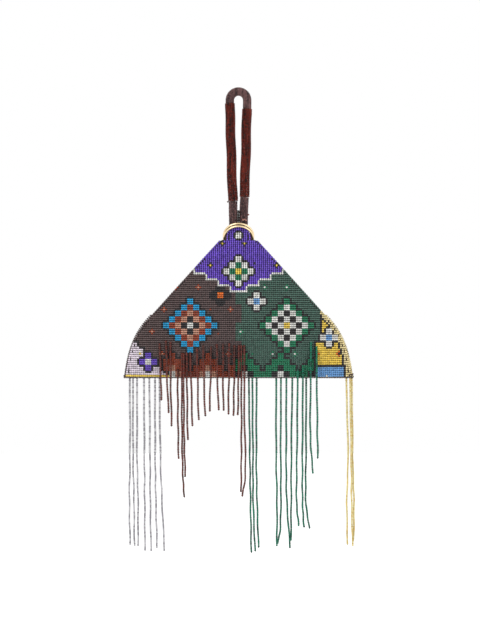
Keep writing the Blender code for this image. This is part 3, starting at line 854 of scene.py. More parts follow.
def cloth_group():
    """Fibres of a cloth: a colour that differs from fibre to fibre, and their height."""
    if "cloth fibres" in bpy.data.node_groups:
        return bpy.data.node_groups["cloth fibres"]
    inputs = (
        ("Colour", "Color", GREY),
        ("Fibre Scale", "Float", 2500.0),
        ("Thread Scale", "Float", 900.0),
        ("Depth", "Float", 0.5),
    )
    outputs = (("Colour", "Color"), ("Height", "Float"))
    net, given = new_group("Shader", "cloth fibres", inputs, outputs)
    place = net.place()
    fibres = net.noise(place, given["Fibre Scale"], 4.0)
    x, _, z = net.shader("SeparateXYZ", place).node.outputs
    across, up = (net.math("SINE", net.times(way, given["Thread Scale"])) for way in (x, z))
    height = net.plus(net.times(net.times(across, up), 0.5), fibres)
    depth = net.plus(net.minus(1.0, given["Depth"]), net.times(fibres, given["Depth"]))
    return net.end(Colour=net.shaded(given["Colour"], depth), Height=height)


def new_material(name, **values):
    """A material, its node net and the inputs of its Principled shader, some with values."""
    material = bpy.data.materials.new(name)
    material.use_nodes = True
    shader = material.node_tree.nodes["Principled BSDF"].inputs
    for label, value in values.items():
        shader[label.replace("_", " ")].default_value = value
    return material, Net(material.node_tree), shader


def bead_material(
    name, colour, other, share, roughness, drift=0.15, contrast=0.3, gloss=0.5, streaks=EVEN
):
    """Glass beads of one colour with a share of another. A colour of None reads each bead's own
    colour from the piece. Streaks say how fast the depth drifts along X, Y and Z."""
    if name in bpy.data.materials:
        return bpy.data.materials[name]
    material, net, shader = new_material(name, IOR=1.5, Specular_IOR_Level=gloss)
    if colour is None:
        first = second = net.shader("Attribute", output="Color", attribute_name="bead_colour")
    else:
        first, second = (*colour, 1), (*other, 1)
    group = net.shader(
        "Group",
        node_tree=bead_tone_group(),
        Colour=first,
        Other_Colour=second,
        Other_Share=share,
        Drift=drift,
        Bead_Contrast=contrast,
        Roughness=roughness,
        Drift_Scale=streaks,
    ).node.outputs
    net.link(group["Colour"], shader["Base Color"])
    net.link(group["Roughness"], shader["Roughness"])
    return material


def field_material(name, roughness, drift, contrast, streaks):
    """Panel beads, each with its own colour."""
    return bead_material(
        name, None, None, 0.0, roughness, drift=drift, contrast=contrast, streaks=streaks
    )


def cloth_material(name, colour, fibres, threads, depth, bump):
    if name in bpy.data.materials:
        return bpy.data.materials[name]
    material, net, shader = new_material(name, Roughness=0.92, Sheen_Weight=0.25)
    group = net.shader(
        "Group",
        node_tree=cloth_group(),
        Colour=(*colour, 1),
        Fibre_Scale=fibres,
        Thread_Scale=threads,
        Depth=depth,
    ).node.outputs
    raised = net.shader("Bump", Height=group["Height"], Distance=bump, output="Normal")
    net.link(group["Colour"], shader["Base Color"])
    net.link(raised, shader["Normal"])
    return material


def gold_material():
    """Polished brass-gold, with fine scratches, and an olive painted shade and dark reflection on
    the inner half of each ring's wire.
    """
    material, net, shader = new_material("polished gold", Metallic=1.0)
    place = net.place()
    scratches = net.noise(net.shader("Mapping", place, Scale=(900, 900, 90)), 1.0, 6.0)
    tarnish = net.noise(place, 260.0)
    scratched = net.map_range(scratches, 0.35, 0.75, 0.10, 0.24)
    roughness = net.plus(scratched, net.map_range(tarnish, 0.4, 0.8, 0.0, 0.10))
    tarnished = net.map_range(tarnish, 0.45, 0.75, 0.0, 0.5)
    colour = net.mix(tarnished, (0.85, 0.67, 0.42, 1), (0.52, 0.38, 0.17, 1))
    # Painted shade: the inner half of each ring's wire, marked in its mesh, is darkened to olive
    # and made rougher here, standing in for the shade and dark reflection there
    patina = net.shader("Attribute", output="Fac", attribute_name="patina")
    net.link(net.mix(patina, colour, (0.13, 0.095, 0.028, 1)), shader["Base Color"])
    net.link(net.plus(roughness, net.times(patina, 0.25)), shader["Roughness"])
    return material


def thread_material(shade):
    colour = {"pale": (0.42, 0.40, 0.38), "dark": (0.07, 0.055, 0.05)}[shade]
    return cloth_material(f"{shade} nylon thread", colour, 9000.0, 4000.0, 0.3, 0.02 * MM)


# Pieces: shared steps


def mesh_object(name, mesh, material, smooth_angle=None):
    """An object from a finished bmesh."""
    data = bpy.data.meshes.new(name)
    mesh.to_mesh(data)
    mesh.free()
    data.materials.append(material)
    data.shade_smooth()
    if smooth_angle is not None:
        data.set_sharp_from_angle(angle=math.radians(smooth_angle))
    return in_scene(name, data)


def outline(top, bottom, cell, panel, inset=0.0):
    """Points down the right edge of a cut of cloth, and the area that it encloses."""
    rows = math.ceil((top - bottom) / cell)
    heights = [mix(top, bottom, k / rows) for k in range(rows + 1)]
    edge = [(max(half_width(z, panel) - inset, 0.0), z) for z in heights]
    return edge, sum((a[0] + b[0]) * (a[1] - b[1]) for a, b in zip(edge, edge[1:]))


def cloth_cut(name, edge, panel, cell, inner, thickness, material):
    """A cut of cloth with a wall: rows of points from edge to edge, on the form of the panel."""
    mesh = bmesh.new()
    columns = 2 * math.ceil(PANEL_HALF_WIDTH / cell)
    shares = [k / columns for k in range(columns + 1)]
    layers = []
    for offset in (inner + thickness, inner):
        rows = []
        for half, z in edge:
            points = [on_panel(mix(-half, half, share), z, panel, offset) for share in shares]
            rows.append([mesh.verts.new(point) for point in points])
        layers.append(rows)
    for rows in layers:
        for upper, lower in zip(rows, rows[1:]):
            for k in range(columns):
                mesh.faces.new((upper[k], upper[k + 1], lower[k + 1], lower[k]))
    last = len(edge) - 1
    rim = [(row, 0) for row in range(last)]
    rim += [(last, k) for k in range(columns)]
    rim += [(row, columns) for row in range(last, 0, -1)]
    rim += [(0, k) for k in range(columns, 0, -1)]
    outer, behind = layers
    for (a, b), (c, d) in zip(rim, rim[1:] + rim[:1]):
        mesh.faces.new((outer[a][b], behind[a][b], behind[c][d], outer[c][d]))
    bmesh.ops.remove_doubles(mesh, verts=mesh.verts[:], dist=MERGE_DISTANCE)
    bmesh.ops.recalc_face_normals(mesh, faces=mesh.faces[:])
    return mesh_object(name, mesh, material, 50)


def bead_places(panel, pitch):
    """Every bead of a panel, as (x, height). Rows run from edge to edge, with the last bead of a
    row right at the edge."""
    places = []
    for row in range(math.floor(PANEL_HEIGHT / pitch)):
        height = PANEL_BOTTOM + (row + 0.5) * pitch
        reach = half_width(height, panel) - pitch / 2
        whole = math.floor(reach / pitch - LEAST_BESIDE_EDGE)
        inside = [k * pitch for k in range(-whole, whole + 1)]
        if reach > 0:
            places += [(x, height) for x in (-reach, *inside, reach)]
    return places


def sew_panel(name, panel, slot_name, bead, fields):
    """Threads fields of beads on a panel and cuts its felt. Each field is its name, its beads'
    places, their material, a seed, and whether their strings run upright."""
    for field, places, beads, seed, upright in fields:
        points, strings, outs, colours = [], [], [], []
        for x, height in places:
            along, up, out = directions_on(x, height, panel)
            points.append(on_panel(x, height, panel, 0) + out * bead.bead_height)
            strings.append(up if upright else along)
            outs.append(out)
            shade = "taupe" if panel is BACK else colour_at(x, height, bead.pitch)
            colours.append((*COLOURS[shade], 1.0))
        variety = bead.size_variation, bead.wobble
        values = threading(bead.diameter, bead.length, bead.sides, *variety, seed, beads)
        attributes = {"string": strings, "out": outs, "bead_colour": colours}
        grow(field, points, "threaded beads", values, slot_name, **attributes)
    finish = cloth_material("backing felt", (0.055, 0.042, 0.042), 3800.0, 0.0, 0.5, 0.06 * MM)
    cell = bead.cloth_cell
    edge, _ = outline(PANEL_TOP - 0.1 * MM, PANEL_BOTTOM, cell, panel)
    felt = cloth_cut(f"{name}_felt", edge, panel, cell, 0.0, bead.felt_thickness, finish)
    settle(felt, "bag", slot_name, f"{name}_panel")


# Handle routes


def leg_share(height):
    """0 at the legs' feet and 1 where the bend starts."""
    return min(max((height - LEGS_HEIGHT) / (BEND_CENTRE - LEGS_HEIGHT), 0), 1)


def leg_offset(height):
    return mix(LOOP_HALF_WIDTH, LEGS_HALF_WIDTH, (1 - leg_share(height)) ** LEGS_CURVE)


def leg_sway(side, height):
    """The small bends that a leg keeps between its two ends, inwards only, so that the rings
    pass."""
    share = leg_share(height)
    held = smooth_step(5 * share) * smooth_step(5 * (1 - share))
    return -side * LEG_SWAY * held * (0.6 + 0.4 * math.sin(LEG_WAVES * share + 1.3 * side))


def leg_route(side, top, bottom):
    steps = max(round((top - bottom) / LEG_STEP), 1)
    heights = [mix(top, bottom, k / steps) for k in range(steps + 1)]
    return [Vector((side * leg_offset(z) + leg_sway(side, z), 0, z)) for z in heights]


def bend_route():
    route = []
    for k in range(1, BEND_STEPS):
        angle = math.pi * (1 - k / BEND_STEPS)
        rise = LOOP_HALF_WIDTH * math.sin(angle)
        route.append(Vector((LOOP_HALF_WIDTH * math.cos(angle), 0, BEND_CENTRE + rise)))
    return route


def handle_route(left_bottom, right_bottom):
    """Up the left leg, over the bend and down the right leg."""
    left = leg_route(-1, BEND_CENTRE, left_bottom)[::-1]
    return left + bend_route() + leg_route(1, BEND_CENTRE, right_bottom)


# Fringe routes


def curve_through(points, count):
    """Evenly many points on a smooth curve through a route's own points."""
    ends = [2 * points[0] - points[1], *points, 2 * points[-1] - points[-2]]
    found = []
    for k in range(count):
        place = (len(points) - 1) * k / (count - 1)
        span = min(int(place), len(points) - 2)
        t = place - span
        a, b, c, d = ends[span : span + 4]
        straight = 2 * b + (c - a) * t
        bend = (2 * a - 5 * b + 4 * c - d) * t**2 + (3 * b - a - 3 * c + d) * t**3
        found.append((straight + bend) / 2)
    return found


def strand_depth(number, start, height):
    """Y of a strand: two rows from the bottom edge, and from the front its face, with every
    other strand soon a row further forward."""
    row = STRAND_ROW if number % 2 else -STRAND_ROW
    if start.z < BAG_BOTTOM:
        return BAG_DEPTH_PLACE + row
    surface = on_panel(start.x, start.z, FRONT, PANEL_THICKNESS).y
    forward = (STRAND_ROW - row) * smooth_step((start.z - height) / STRAND_STEP)
    return surface - GAP - SOLID_STRAND_RADIUS - forward


def own_points(numbers):
    """A strand's own points, from x and z in turn. Of five numbers, the first three are x at the
    long strands' shared heights."""
    pairs = zip(numbers[::2], numbers[1::2])
    if len(numbers) == 5:
        pairs = [*zip(numbers, LONG_HEIGHTS), numbers[3:]]
    return [Vector((x * MM, 0, z * MM)) for x, z in pairs]


def strand_route(number, numbers, sway, draw):
    """The strand's line, with the small bends that a string of beads keeps."""
    ends = own_points(numbers)
    phase = draw.uniform(0, 2 * math.pi)
    turns = (ends[0].z - ends[-1].z) / draw.uniform(*SWING_LENGTHS) / MM
    route = []
    for k, point in enumerate(curve_through(ends, STRAND_POINTS)):
        share = k / (STRAND_POINTS - 1)
        swing = sway * math.sin(phase + 2 * math.pi * turns * share) * smooth_step(4 * share)
        depth = strand_depth(number, ends[0], point.z)
        route.append(Vector((point.x + swing, depth, point.z)))
    return route


# Settings


def amount(name, description, default, **kind):
    return bpy.props.FloatProperty(name=name, description=description, default=default, **kind)


def metres(name, description, default):
    return amount(name, description, default, unit="LENGTH")


def whole(name, description, default):
    return bpy.props.IntProperty(name=name, description=description, default=default)


def tint(name, description, default):
    return bpy.props.FloatVectorProperty(
        name=name, description=description, default=default, subtype="COLOR"
    )


class BeadedBagPanelSettings(bpy.types.PropertyGroup):
    """Beads and cloth of the two panels."""

    diameter: metres("Bead Diameter", "Across the hole of a panel bead", 1.95 * MM)
    length: metres("Bead Length", "Along the hole of a panel bead", 1.88 * MM)
    pitch: metres("Bead Pitch", "From bead to bead and from row to row", 2.0 * MM)
    sides: whole("Bead Sides", "Faces round a panel bead", 7)
    size_variation: amount(
        "Size Variation", "How much smaller the smallest beads are", 0.07, subtype="FACTOR"
    )
    wobble: amount(
        "Wobble", "How far a bead may lean on its string", math.radians(4), subtype="ANGLE"
    )
    felt_thickness: metres("Felt Thickness", "Backing felt, puffed up between beads", 1.1 * MM)
    bead_height: metres("Bead Height", "From the felt's inner face to a bead's middle", 1.6 * MM)
    cloth_cell: metres("Cloth Cell", "Mesh size of the cloth", 3 * MM)


class BeadedBagHandleSettings(bpy.types.PropertyGroup):
    """Beads sewn round the rope."""

    diameter: metres("Bead Diameter", "Across the hole of a handle bead", 1.6 * MM)
    length: metres("Bead Length", "Along the hole of a handle bead", 1.55 * MM)
    row_pitch: metres("Row Pitch", "From bead to bead along the legs", 1.6 * MM)
    bend_pitch: metres(
        "Bend Pitch", "From bead to bead over the top, at the middle of the rope", 1.15 * MM
    )
    grip_colour: tint("Grip Colour", "Dark red glass of the two legs", (0.120, 0.016, 0.009))
    end_colour: tint(
        "End Colour", "Dull mauve beads of the top and the feet", (0.140, 0.072, 0.070)
    )


class BeadedBagFringeSettings(bpy.types.PropertyGroup):
    """Beads and thread of the fringe."""

    diameter: metres("Bead Diameter", "Across the hole of a fringe bead", 2.4 * MM)
    length: metres("Bead Length", "Along the hole of a fringe bead", 1.65 * MM)
    pitch: metres("Bead Pitch", "From bead to bead down a strand", 1.7 * MM)
    thread: metres("Thread Diameter", "Thread that the beads hang on", 0.35 * MM)
    sway: metres("Sway", "Size of a strand's small bends", 0.25 * MM)


class BeadedBagRingSettings(bpy.types.PropertyGroup):
    """The two closing rings."""

    steps: whole("Ring Steps", "Faces round a ring", 96)
    sides: whole("Wire Sides", "Faces round a ring's wire", 16)


class BeadedBagStageSettings(bpy.types.PropertyGroup):
    """Camera, lamps and floor."""

    camera_distance: metres("Camera Distance", "From the camera to the bag", 2.2)
    view_height: metres("View Height", "Height of the picture at the bag", 0.640)
    key_power: amount("Key Power", "Lamp on the left", 8.0, unit="POWER")
    fill_power: amount("Fill Power", "Lamp on the right", 4.0, unit="POWER")
    world_light: amount("World Light", "Light from all round", 0.5)
    floor_height: metres("Floor Height", "Z of the floor", -0.60)


# Operators


class BEADEDBAG_OT_stage(bpy.types.Operator):
    """Sets up the camera, the lamps, the white surroundings and the floor"""

    bl_idname = "beaded_bag.stage"
    bl_label = "Set the Stage"

    def execute(self, context):
        stage = context.scene.beaded_bag_stage
        add_camera(stage)
        add_lamp("key_lamp", stage.key_power, 0.9, Vector((-0.75, -1.15, 0.35)))
        add_lamp("fill_lamp", stage.fill_power, 1.1, Vector((1.0, -0.95, -0.15)))
        add_lamp("back_lamp", stage.fill_power * 0.6, 0.7, Vector((0.3, 1.1, 0.5)))
        add_world(stage)
        add_floor(stage)
        context.scene.view_settings.view_transform = "Standard"
        return {"FINISHED"}


def add_camera(stage):
    """Straight on to the bag, with the photograph's frame at the bag's own depth."""
    data = bpy.data.cameras.new("camera")
    data.lens = data.sensor_width * stage.camera_distance / stage.view_height
    camera = in_scene("camera", data)
    camera.location = (CAMERA_PLACE[0], -stage.camera_distance, CAMERA_PLACE[1])
    camera.rotation_euler = (math.pi / 2, 0, 0)
    bpy.context.scene.camera = camera


def add_lamp(name, power, size, place):
    """A soft square lamp that faces the middle of the bag."""
    data = bpy.data.lights.new(name, "AREA")
    data.energy = power
    data.size = size
    lamp = in_scene(name, data)
    lamp.location = place
    lamp.rotation_euler = (LAMP_AIM - place).to_track_quat("-Z", "Y").to_euler()


def white_to_the_eye(net, otherwise, white):
    """One value for rays that see the surroundings directly, in a reflection or through glass,
    and another for the rest."""
    rays = net.shader("LightPath").node.outputs
    either = net.math("MAXIMUM", rays["Is Camera Ray"], rays["Is Glossy Ray"])
    seen = net.math("MAXIMUM", either, rays["Is Transmission Ray"])
    return net.map_range(seen, 0, 1, otherwise, white)


def add_world(stage):
    world = bpy.data.worlds.new("white surroundings")
    world.use_nodes = True
    net = Net(world.node_tree)
    background = world.node_tree.nodes["Background"].inputs
    net.link(white_to_the_eye(net, stage.world_light, 1), background["Strength"])
    background["Color"].default_value = (1, 1, 1, 1)
    bpy.context.scene.world = world


def add_floor(stage):
    """A wide round floor, white to the camera but for the shadow on it."""
    pale, white = (0.86, 0.86, 0.86, 1), (1, 1, 1, 1)
    material, net, shader = new_material(
        "pale floor", Base_Color=pale, Roughness=0.8, Specular_IOR_Level=0.2, Emission_Color=white
    )
    net.link(white_to_the_eye(net, 0, FLOOR_GLOW), shader["Emission Strength"])
    mesh = bmesh.new()
    bmesh.ops.create_circle(mesh, cap_ends=True, radius=FLOOR_RADIUS, segments=64)
    bmesh.ops.translate(mesh, verts=mesh.verts[:], vec=(0, 0, stage.floor_height))
    mesh_object("floor", mesh, material)


class BEADEDBAG_OT_fringe(bpy.types.Operator):
    """Threads the forty strands of the fringe"""

    bl_idname = "beaded_bag.fringe"
    bl_label = "Thread the Fringe"

    def execute(self, context):
        fringe = context.scene.beaded_bag_fringe
        draw = random.Random(11)
        for group, strands, first, other, share, roughness, thread in FRINGE:
            beads = bead_material(
                f"{group} strand beads", first, other, share, roughness, contrast=0.2, gloss=0.35
            )
            for number, numbers in enumerate(strands, 1):
                route = strand_route(number, numbers, fringe.sway, draw)
                node = f"{group}_strand_{number}"
                add_strand(node, f"{group}_beads", route, fringe, beads, thread, 40 * number)
        return {"FINISHED"}


def add_strand(node, slot_name, route, fringe, beads, thread, seed):
    """One strand: its beads on their thread."""
    values = {
        "Bead Pitch": fringe.pitch,
        "Thread Diameter": fringe.thread,
        "Thread Material": thread_material(thread),
        **threading(fringe.diameter, fringe.length, *STRAND_BEADS, seed, beads),
    }
    grow(f"{node}_beads", route, "bead strand", values, slot_name, node, joined=True)


class BEADEDBAG_OT_front(bpy.types.Operator):
    """Cuts the front's felt and sews the charted fields of beads on it"""

    bl_idname = "beaded_bag.front"
    bl_label = "Bead the Front"

    def execute(self, context):
        bead = context.scene.beaded_bag_panels
        yoke = field_material("yoke beads", 0.2, 0.45, 0.5, UPRIGHT_STREAKS)
        field = field_material("field beads", 0.22, 0.35, 0.35, LEVEL_STREAKS)
        fields = (
            ("yoke_beads", [], yoke, 100, True),
            ("left_field_beads", [], field, 200, False),
            ("right_field_beads", [], field, 300, False),
        )
        for place in bead_places(FRONT, bead.pitch):
            ground = ground_colour(*square_at(*place))
            fields[FIELD_OF_GROUND.get(ground, 2)][1].append(place)
        sew_panel("front", FRONT, "beadwork", bead, fields)
        add_neck_piping()
        return {"FINISHED"}


def add_neck_piping():
    """A turned edge of dark red cloth up each side of the neck, inside the rings. The left one is
    the dark red cloth seen there; the right one is painted shade, dark cloth where there is only
    shadow.
    """
    cloth = cloth_material("dark red cloth", (0.050, 0.014, 0.018), 5200.0, 7000.0, 0.4, 0.04 * MM)
    top = PANEL_TOP - NECK_RISE - RING_WIRE / 2 + PIPING_RISE
    foot = FRONT["foot"] - FRONT["flare"] / 2
    sizes = {"Rope Radius": PIPING_DIAMETER / 2, "Turn Length": 1.0, "Step": 0.5 * MM}
    # The right-hand piping is painted shade: dark cloth set where the neck has only shadow beside
    # it
    for name, side in (("neck_piping_left", -1), ("neck_piping_right", 1)):
        route = []
        for k in range(PIPING_STEPS + 1):
            height = mix(top, foot, k / PIPING_STEPS)
            across = FRONT["half"]
            if k < PIPING_STEPS:
                across = min(half_width(height, FRONT), across)
            x = side * (across + PIPING_OVERHANG * PIPING_DIAMETER)
            route.append(on_panel(x, height, FRONT, PANEL_THICKNESS / 2))
        values = {**sizes, "Rope Material": cloth}
        flat = [(0.0,)] * len(route)
        grow(name, route, "plied rope", values, "lining_cloth", joined=True, flat=flat)


class BEADEDBAG_OT_back(bpy.types.Operator):
    """Cuts the back's felt and sews plain rows of taupe beads on it"""

    bl_idname = "beaded_bag.back"
    bl_label = "Bead the Back"

    def execute(self, context):
        bead = context.scene.beaded_bag_panels
        places = bead_places(BACK, bead.pitch)
        beads = field_material("back beads", 0.22, 0.35, 0.35, LEVEL_STREAKS)
        left = [place for place in places if place[0] < 0]
        right = [place for place in places if place[0] >= 0]
        fields = (
            ("back_left_beads", left, beads, 499, False),
            ("back_right_beads", right, beads, 501, False),
        )
        sew_panel("back", BACK, "taupe_beads", bead, fields)
        return {"FINISHED"}


class BEADEDBAG_OT_linings(bpy.types.Operator):
    """Cuts the two linings"""

    bl_idname = "beaded_bag.linings"
    bl_label = "Cut the Linings"

    def execute(self, context):
        cell = context.scene.beaded_bag_panels.cloth_cell
        colour = (0.035, 0.028, 0.032)
        cloth = cloth_material("lining cloth", colour, 5200.0, 7000.0, 0.4, 0.05 * MM)
        top = BACK_NECK_FOOT - 2 * BACK_FLARE
        bottom = PANEL_BOTTOM + LINING_INSET
        inner = -LINING_GAP - LINING_THICKNESS
        for side, panel in (("front", FRONT), ("back", BACK)):
            edge, area = outline(top, bottom, cell, panel, LINING_INSET)
            name = f"{side}_lining_cloth"
            lining = cloth_cut(name, edge, panel, cell, inner, LINING_THICKNESS, cloth)
            settle(lining, "bag", "lining_cloth", f"{side}_lining")
        return {"FINISHED"}


class BEADEDBAG_OT_edging(bpy.types.Operator):
    """Sews the beaded edging round the sewn sides and the bottom"""

    bl_idname = "beaded_bag.edging"
    bl_label = "Edge the Seams"

    def execute(self, context):
        bead = context.scene.beaded_bag_panels
        plain = bead_material("edging beads", COLOURS["taupe"], (0.030, 0.020, 0.020), 0.3, 0.2)
        pale = bead_material(
            "cream edging beads", COLOURS["cream"], (0.36, 0.28, 0.11), 0.35, 0.25
        )
        for name, side, beads in (("left_seam", -1, plain), ("right_seam", 1, pale)):
            steps = round(NOTCH_RISE / EDGING_PITCH)
            route = []
            for k in range(steps + 1):
                height = mix(PANEL_BOTTOM, NOTCH_HEIGHT, k / steps)
                rise = CHART_SQUARE / 2
                lean = shoulder(height) - shoulder(height + rise)
                out = Vector((side * rise, 0, lean)).normalized()
                centre = Vector((side * shoulder(height), BAG_DEPTH_PLACE, height))
                route.append((centre + out * GAP, out))
            add_edging(name, route, bead, beads)
        reach = PANEL_HALF_WIDTH + GAP + EDGING_HALF_THICKNESS
        steps = round(2 * reach / EDGING_PITCH)
        route = []
        for k in range(steps + 1):
            centre = Vector((mix(-reach, reach, k / steps), BAG_DEPTH_PLACE, PANEL_BOTTOM - GAP))
            route.append((centre, Vector((0, 0, -1))))
        add_edging("bottom_seam", route, bead, plain)
        knots = bead_material(
            "corner knot beads", (0.050, 0.018, 0.014), (0.020, 0.012, 0.012), 0.4, 0.35
        )
        handle = context.scene.beaded_bag_handle
        add_single_beads("corner_knots", CORNER_BEADS, knots, "edging_beads", handle)
        return {"FINISHED"}


def add_edging(node, route, bead, beads):
    """Stitches of four beads each, laid over the edge from the front face to the back one."""
    points, strings, outs = [], [], []
    for centre, out in route:
        for k in range(STITCH_BEADS):
            angle = math.pi * (k + 0.5) / STITCH_BEADS
            depth = -EDGING_HALF_DEPTH * STITCH_REACH * math.cos(angle)
            rise = EDGING_HALF_THICKNESS * math.sin(angle)
            points.append(centre + Vector((0, depth, 0)) + out * rise)
            across = Vector((0, math.sin(angle), 0)) + out * (0.5 * math.cos(angle))
            strings.append(across.normalized())
            outs.append(out)
    sizes = EDGING_BEAD_DIAMETER, EDGING_BEAD_LENGTH, 6, bead.size_variation, bead.wobble
    values = threading(*sizes, 700, beads)
    attributes = {"string": strings, "out": outs}
    name = f"{node}_beads"
    grow(name, points, "threaded beads", values, "edging_beads", node, **attributes)


class BEADEDBAG_OT_handle(bpy.types.Operator):
    """Lays the rope and sews the sleeves of beads round it"""

    bl_idname = "beaded_bag.handle"
    bl_label = "Make the Handle"

    def execute(self, context):
        handle = context.scene.beaded_bag_handle
        add_rope()
        grips = bead_material(
            "dark red beads", tuple(handle.grip_colour), (0.034, 0.010, 0.008), 0.15, 0.3,
            drift=1.6, contrast=0.8, gloss=0.15, streaks=UPRIGHT_STREAKS,
        )
        ends = bead_material(
            "mauve beads", tuple(handle.end_colour), (0.060, 0.034, 0.036), 0.2, 0.5,
            drift=1.1, contrast=0.7, gloss=0.25, streaks=UPRIGHT_STREAKS,
        )
        bend = handle_route(LEFT_BEND_END, RIGHT_BEND_END)
        sleeves = [("handle_top", BEND_RADIUS + PROUD / 2, ends, bend)]
        legs = (("left", -1, LEFT_BEND_END, LEFT_GRIP_END),
                ("right", 1, RIGHT_BEND_END, RIGHT_GRIP_END))
        for name, side, top, bottom in legs:
            route = leg_route(side, top - GAP, bottom)
            sleeves.append((f"{name}_grip", GRIP_RADIUS + PROUD, grips, route))
        for name, side, _, top in legs:
            route = leg_route(side, top - GAP, BEADS_END)
            sleeves.append((f"{name}_end", END_RADIUS, ends, route))
        for number, (name, radius, finish, route) in enumerate(sleeves):
            add_sleeve(name, radius, finish, route, handle, 900 + 10 * number)
        add_single_beads("stray_beads", STRAY_BEADS, grips, "oxblood_beads", handle)
        tan = bead_material("tan beads", (0.55, 0.27, 0.20), (0.40, 0.19, 0.15), 0.3, 0.2)
        add_single_beads("tan_beads", TAN_BEADS, tan, "mauve_beads", handle)
        add_leg_gap_beads(handle)
        return {"FINISHED"}


def add_rope():
    """The cotton rope, round in the handle and pressed flat between the panels."""
    route = handle_route(ROPE_END, ROPE_END)
    above = BEADS_END + 2 * ROPE_RADIUS
    pressed = [smooth_step((above - point.z) / (above - BEADS_END)) for point in route]
    flat = [(MOST_PRESSED * share,) for share in pressed]
    cloth = cloth_material("cotton rope", (0.20, 0.15, 0.11), 5200.0, 0.0, 0.5, 0.08 * MM)
    values = {"Rope Radius": ROPE_RADIUS, "Rope Material": cloth}
    names = "cotton_rope", "handle_core"
    grow("cotton_rope", route, "plied rope", values, *names, joined=True, flat=flat)


def add_sleeve(name, radius, finish, route, handle, seed):
    """A sleeve of beads, its rows starting half a bead inside the route's ends."""
    inside = handle.row_pitch / 2
    route[0] = route[0] + (route[1] - route[0]).normalized() * inside
    route[-1] = route[-1] + (route[-2] - route[-1]).normalized() * inside
    middle = radius - SLEEVE_SINK * handle.diameter
    values = {
        "Sleeve Radius": middle,
        "Columns": round(2 * math.pi * middle / (COLUMN_SHARE * handle.diameter)),
        "Row Pitch": handle.bend_pitch if name == "handle_top" else handle.row_pitch,
        **threading(handle.diameter, handle.length, *SLEEVE_BEADS, seed, finish),
    }
    slot_name = "oxblood_beads" if name.endswith("grip") else "mauve_beads"
    piece = f"{name}_beadwork"
    grow(piece, route, "bead sleeve", values, slot_name, f"{name}_beads", joined=True)


def add_leg_gap_beads(handle):
    """Dark beads in the gap between the two legs above the rings, from the back to the front."""
    finish = bead_material(
        "dark olive beads", (0.018, 0.011, 0.008), (0.038, 0.017, 0.015), 0.3, 0.6, gloss=0.1
    )
    places = []
    for row in range(round(LEG_GAP_HEIGHT / handle.row_pitch)):
        height = BEADS_END + (row + 0.5) * handle.row_pitch
        reach = leg_offset(height) - 0.3 * END_RADIUS
        for k in range(3):
            x = reach * (k - 1) * LEG_GAP_SPREAD
            for depth in ((k % 2 - LEG_GAP_FRONT) * LEG_GAP_STEP, LEG_GAP_BACK):
                places.append((x / MM, depth, height / MM))
    add_single_beads("leg_whipping", places, finish, "mauve_beads", handle)


def add_single_beads(name, places, finish, slot_name, handle):
    """Single beads outside the sleeves, at places in millimetres."""
    points = [Vector(place) * MM for place in places]
    strings = [(1.0, 0.0, 0.35)] * len(points)
    outs = [(0.0, -1.0, 0.0)] * len(points)
    values = threading(handle.diameter, handle.length, *SINGLE_BEADS, 31, finish)
    grow(name, points, "threaded beads", values, slot_name, string=strings, out=outs)


class BEADEDBAG_OT_rings(bpy.types.Operator):
    """Turns the two gold rings"""

    bl_idname = "beaded_bag.rings"
    bl_label = "Turn the Rings"

    def execute(self, context):
        rings = context.scene.beaded_bag_rings
        gold = gold_material()
        for node, centre in (("upper_ring", UPPER_RING_CENTRE), ("lower_ring", LOWER_RING_CENTRE)):
            ring = mesh_object(f"{node}_gold", ring_mesh(rings, centre), gold)
            settle(ring, "closing_rings", "gold", node)
        return {"FINISHED"}


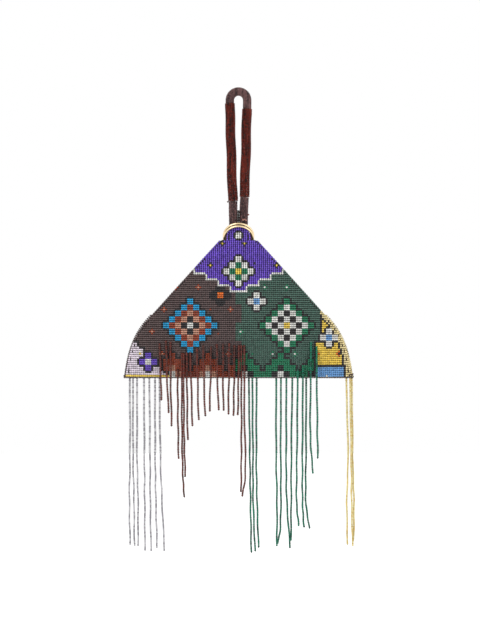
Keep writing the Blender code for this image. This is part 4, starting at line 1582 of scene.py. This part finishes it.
def ring_mesh(rings, centre):
    """A round wire bent into a ring, tilted and moved to its place in the mesh itself."""
    mesh = bmesh.new()
    patina = mesh.verts.layers.float.new("patina")
    loops = []
    for k in range(rings.steps):
        turn = 2 * math.pi * k / rings.steps
        loop = []
        for j in range(rings.sides):
            angle = 2 * math.pi * j / rings.sides
            reach = WIRE_CIRCLE + RING_WIRE / 2 * math.cos(angle)
            rise = RING_WIRE / 2 * math.sin(angle)
            across, down = reach * math.cos(turn), reach * math.sin(turn)
            y = down * math.sin(RING_TILT) - rise * math.cos(RING_TILT)
            z = -down * math.cos(RING_TILT) - rise * math.sin(RING_TILT)
            made = mesh.verts.new(centre + Vector((across, y, z)))
            # Painted shade and dark reflection: the mark is nil on the wire's outer edge, which
            # stays bright like a highlight, and rises over its inner half
            made[patina] = MOST_PAINTED_SHADE * smooth_step((0.5 - math.cos(angle)) / 0.8)
            loop.append(made)
        loops.append(loop)
    for k, loop in enumerate(loops):
        after = loops[(k + 1) % len(loops)]
        for j in range(rings.sides):
            beside = (j + 1) % rings.sides
            mesh.faces.new((loop[j], loop[beside], after[beside], after[j]))
    bmesh.ops.recalc_face_normals(mesh, faces=mesh.faces[:])
    return mesh


class BEADEDBAG_PT_pieces(bpy.types.Panel):
    """Lists the bag's pieces and their settings"""

    bl_idname = "BEADEDBAG_PT_pieces"
    bl_label = "Beaded Bag"
    bl_space_type = "VIEW_3D"
    bl_region_type = "UI"
    bl_category = "Beaded Bag"

    def draw(self, context):
        for label, operators in (
            ("Panels", ("front", "back", "linings", "edging")),
            ("Handle", ("handle",)),
            ("Rings", ("rings",)),
            ("Fringe", ("fringe",)),
            ("Stage", ("stage",)),
        ):
            box = self.layout.box()
            box.label(text=label)
            settings = getattr(context.scene, f"beaded_bag_{label.lower()}")
            for name in settings.__annotations__:
                box.prop(settings, name)
            for operator in operators:
                box.operator(f"beaded_bag.{operator}")


SETTINGS = {
    "beaded_bag_panels": BeadedBagPanelSettings,
    "beaded_bag_handle": BeadedBagHandleSettings,
    "beaded_bag_fringe": BeadedBagFringeSettings,
    "beaded_bag_rings": BeadedBagRingSettings,
    "beaded_bag_stage": BeadedBagStageSettings,
}
CLASSES = (
    *SETTINGS.values(),
    BEADEDBAG_OT_stage,
    BEADEDBAG_OT_fringe,
    BEADEDBAG_OT_front,
    BEADEDBAG_OT_back,
    BEADEDBAG_OT_linings,
    BEADEDBAG_OT_edging,
    BEADEDBAG_OT_handle,
    BEADEDBAG_OT_rings,
    BEADEDBAG_PT_pieces,
)


def register():
    for made in CLASSES:
        bpy.utils.register_class(made)
    for name, group in SETTINGS.items():
        setattr(bpy.types.Scene, name, bpy.props.PointerProperty(type=group))


def unregister():
    for name in SETTINGS:
        delattr(bpy.types.Scene, name)
    for made in reversed(CLASSES):
        bpy.utils.unregister_class(made)


def main():
    register()
    bpy.ops.beaded_bag.stage()
    bpy.ops.beaded_bag.fringe()
    bpy.ops.beaded_bag.handle()
    bpy.ops.beaded_bag.front()
    bpy.ops.beaded_bag.back()
    bpy.ops.beaded_bag.linings()
    bpy.ops.beaded_bag.edging()
    bpy.ops.beaded_bag.rings()


if __name__ == "__main__":
    main()
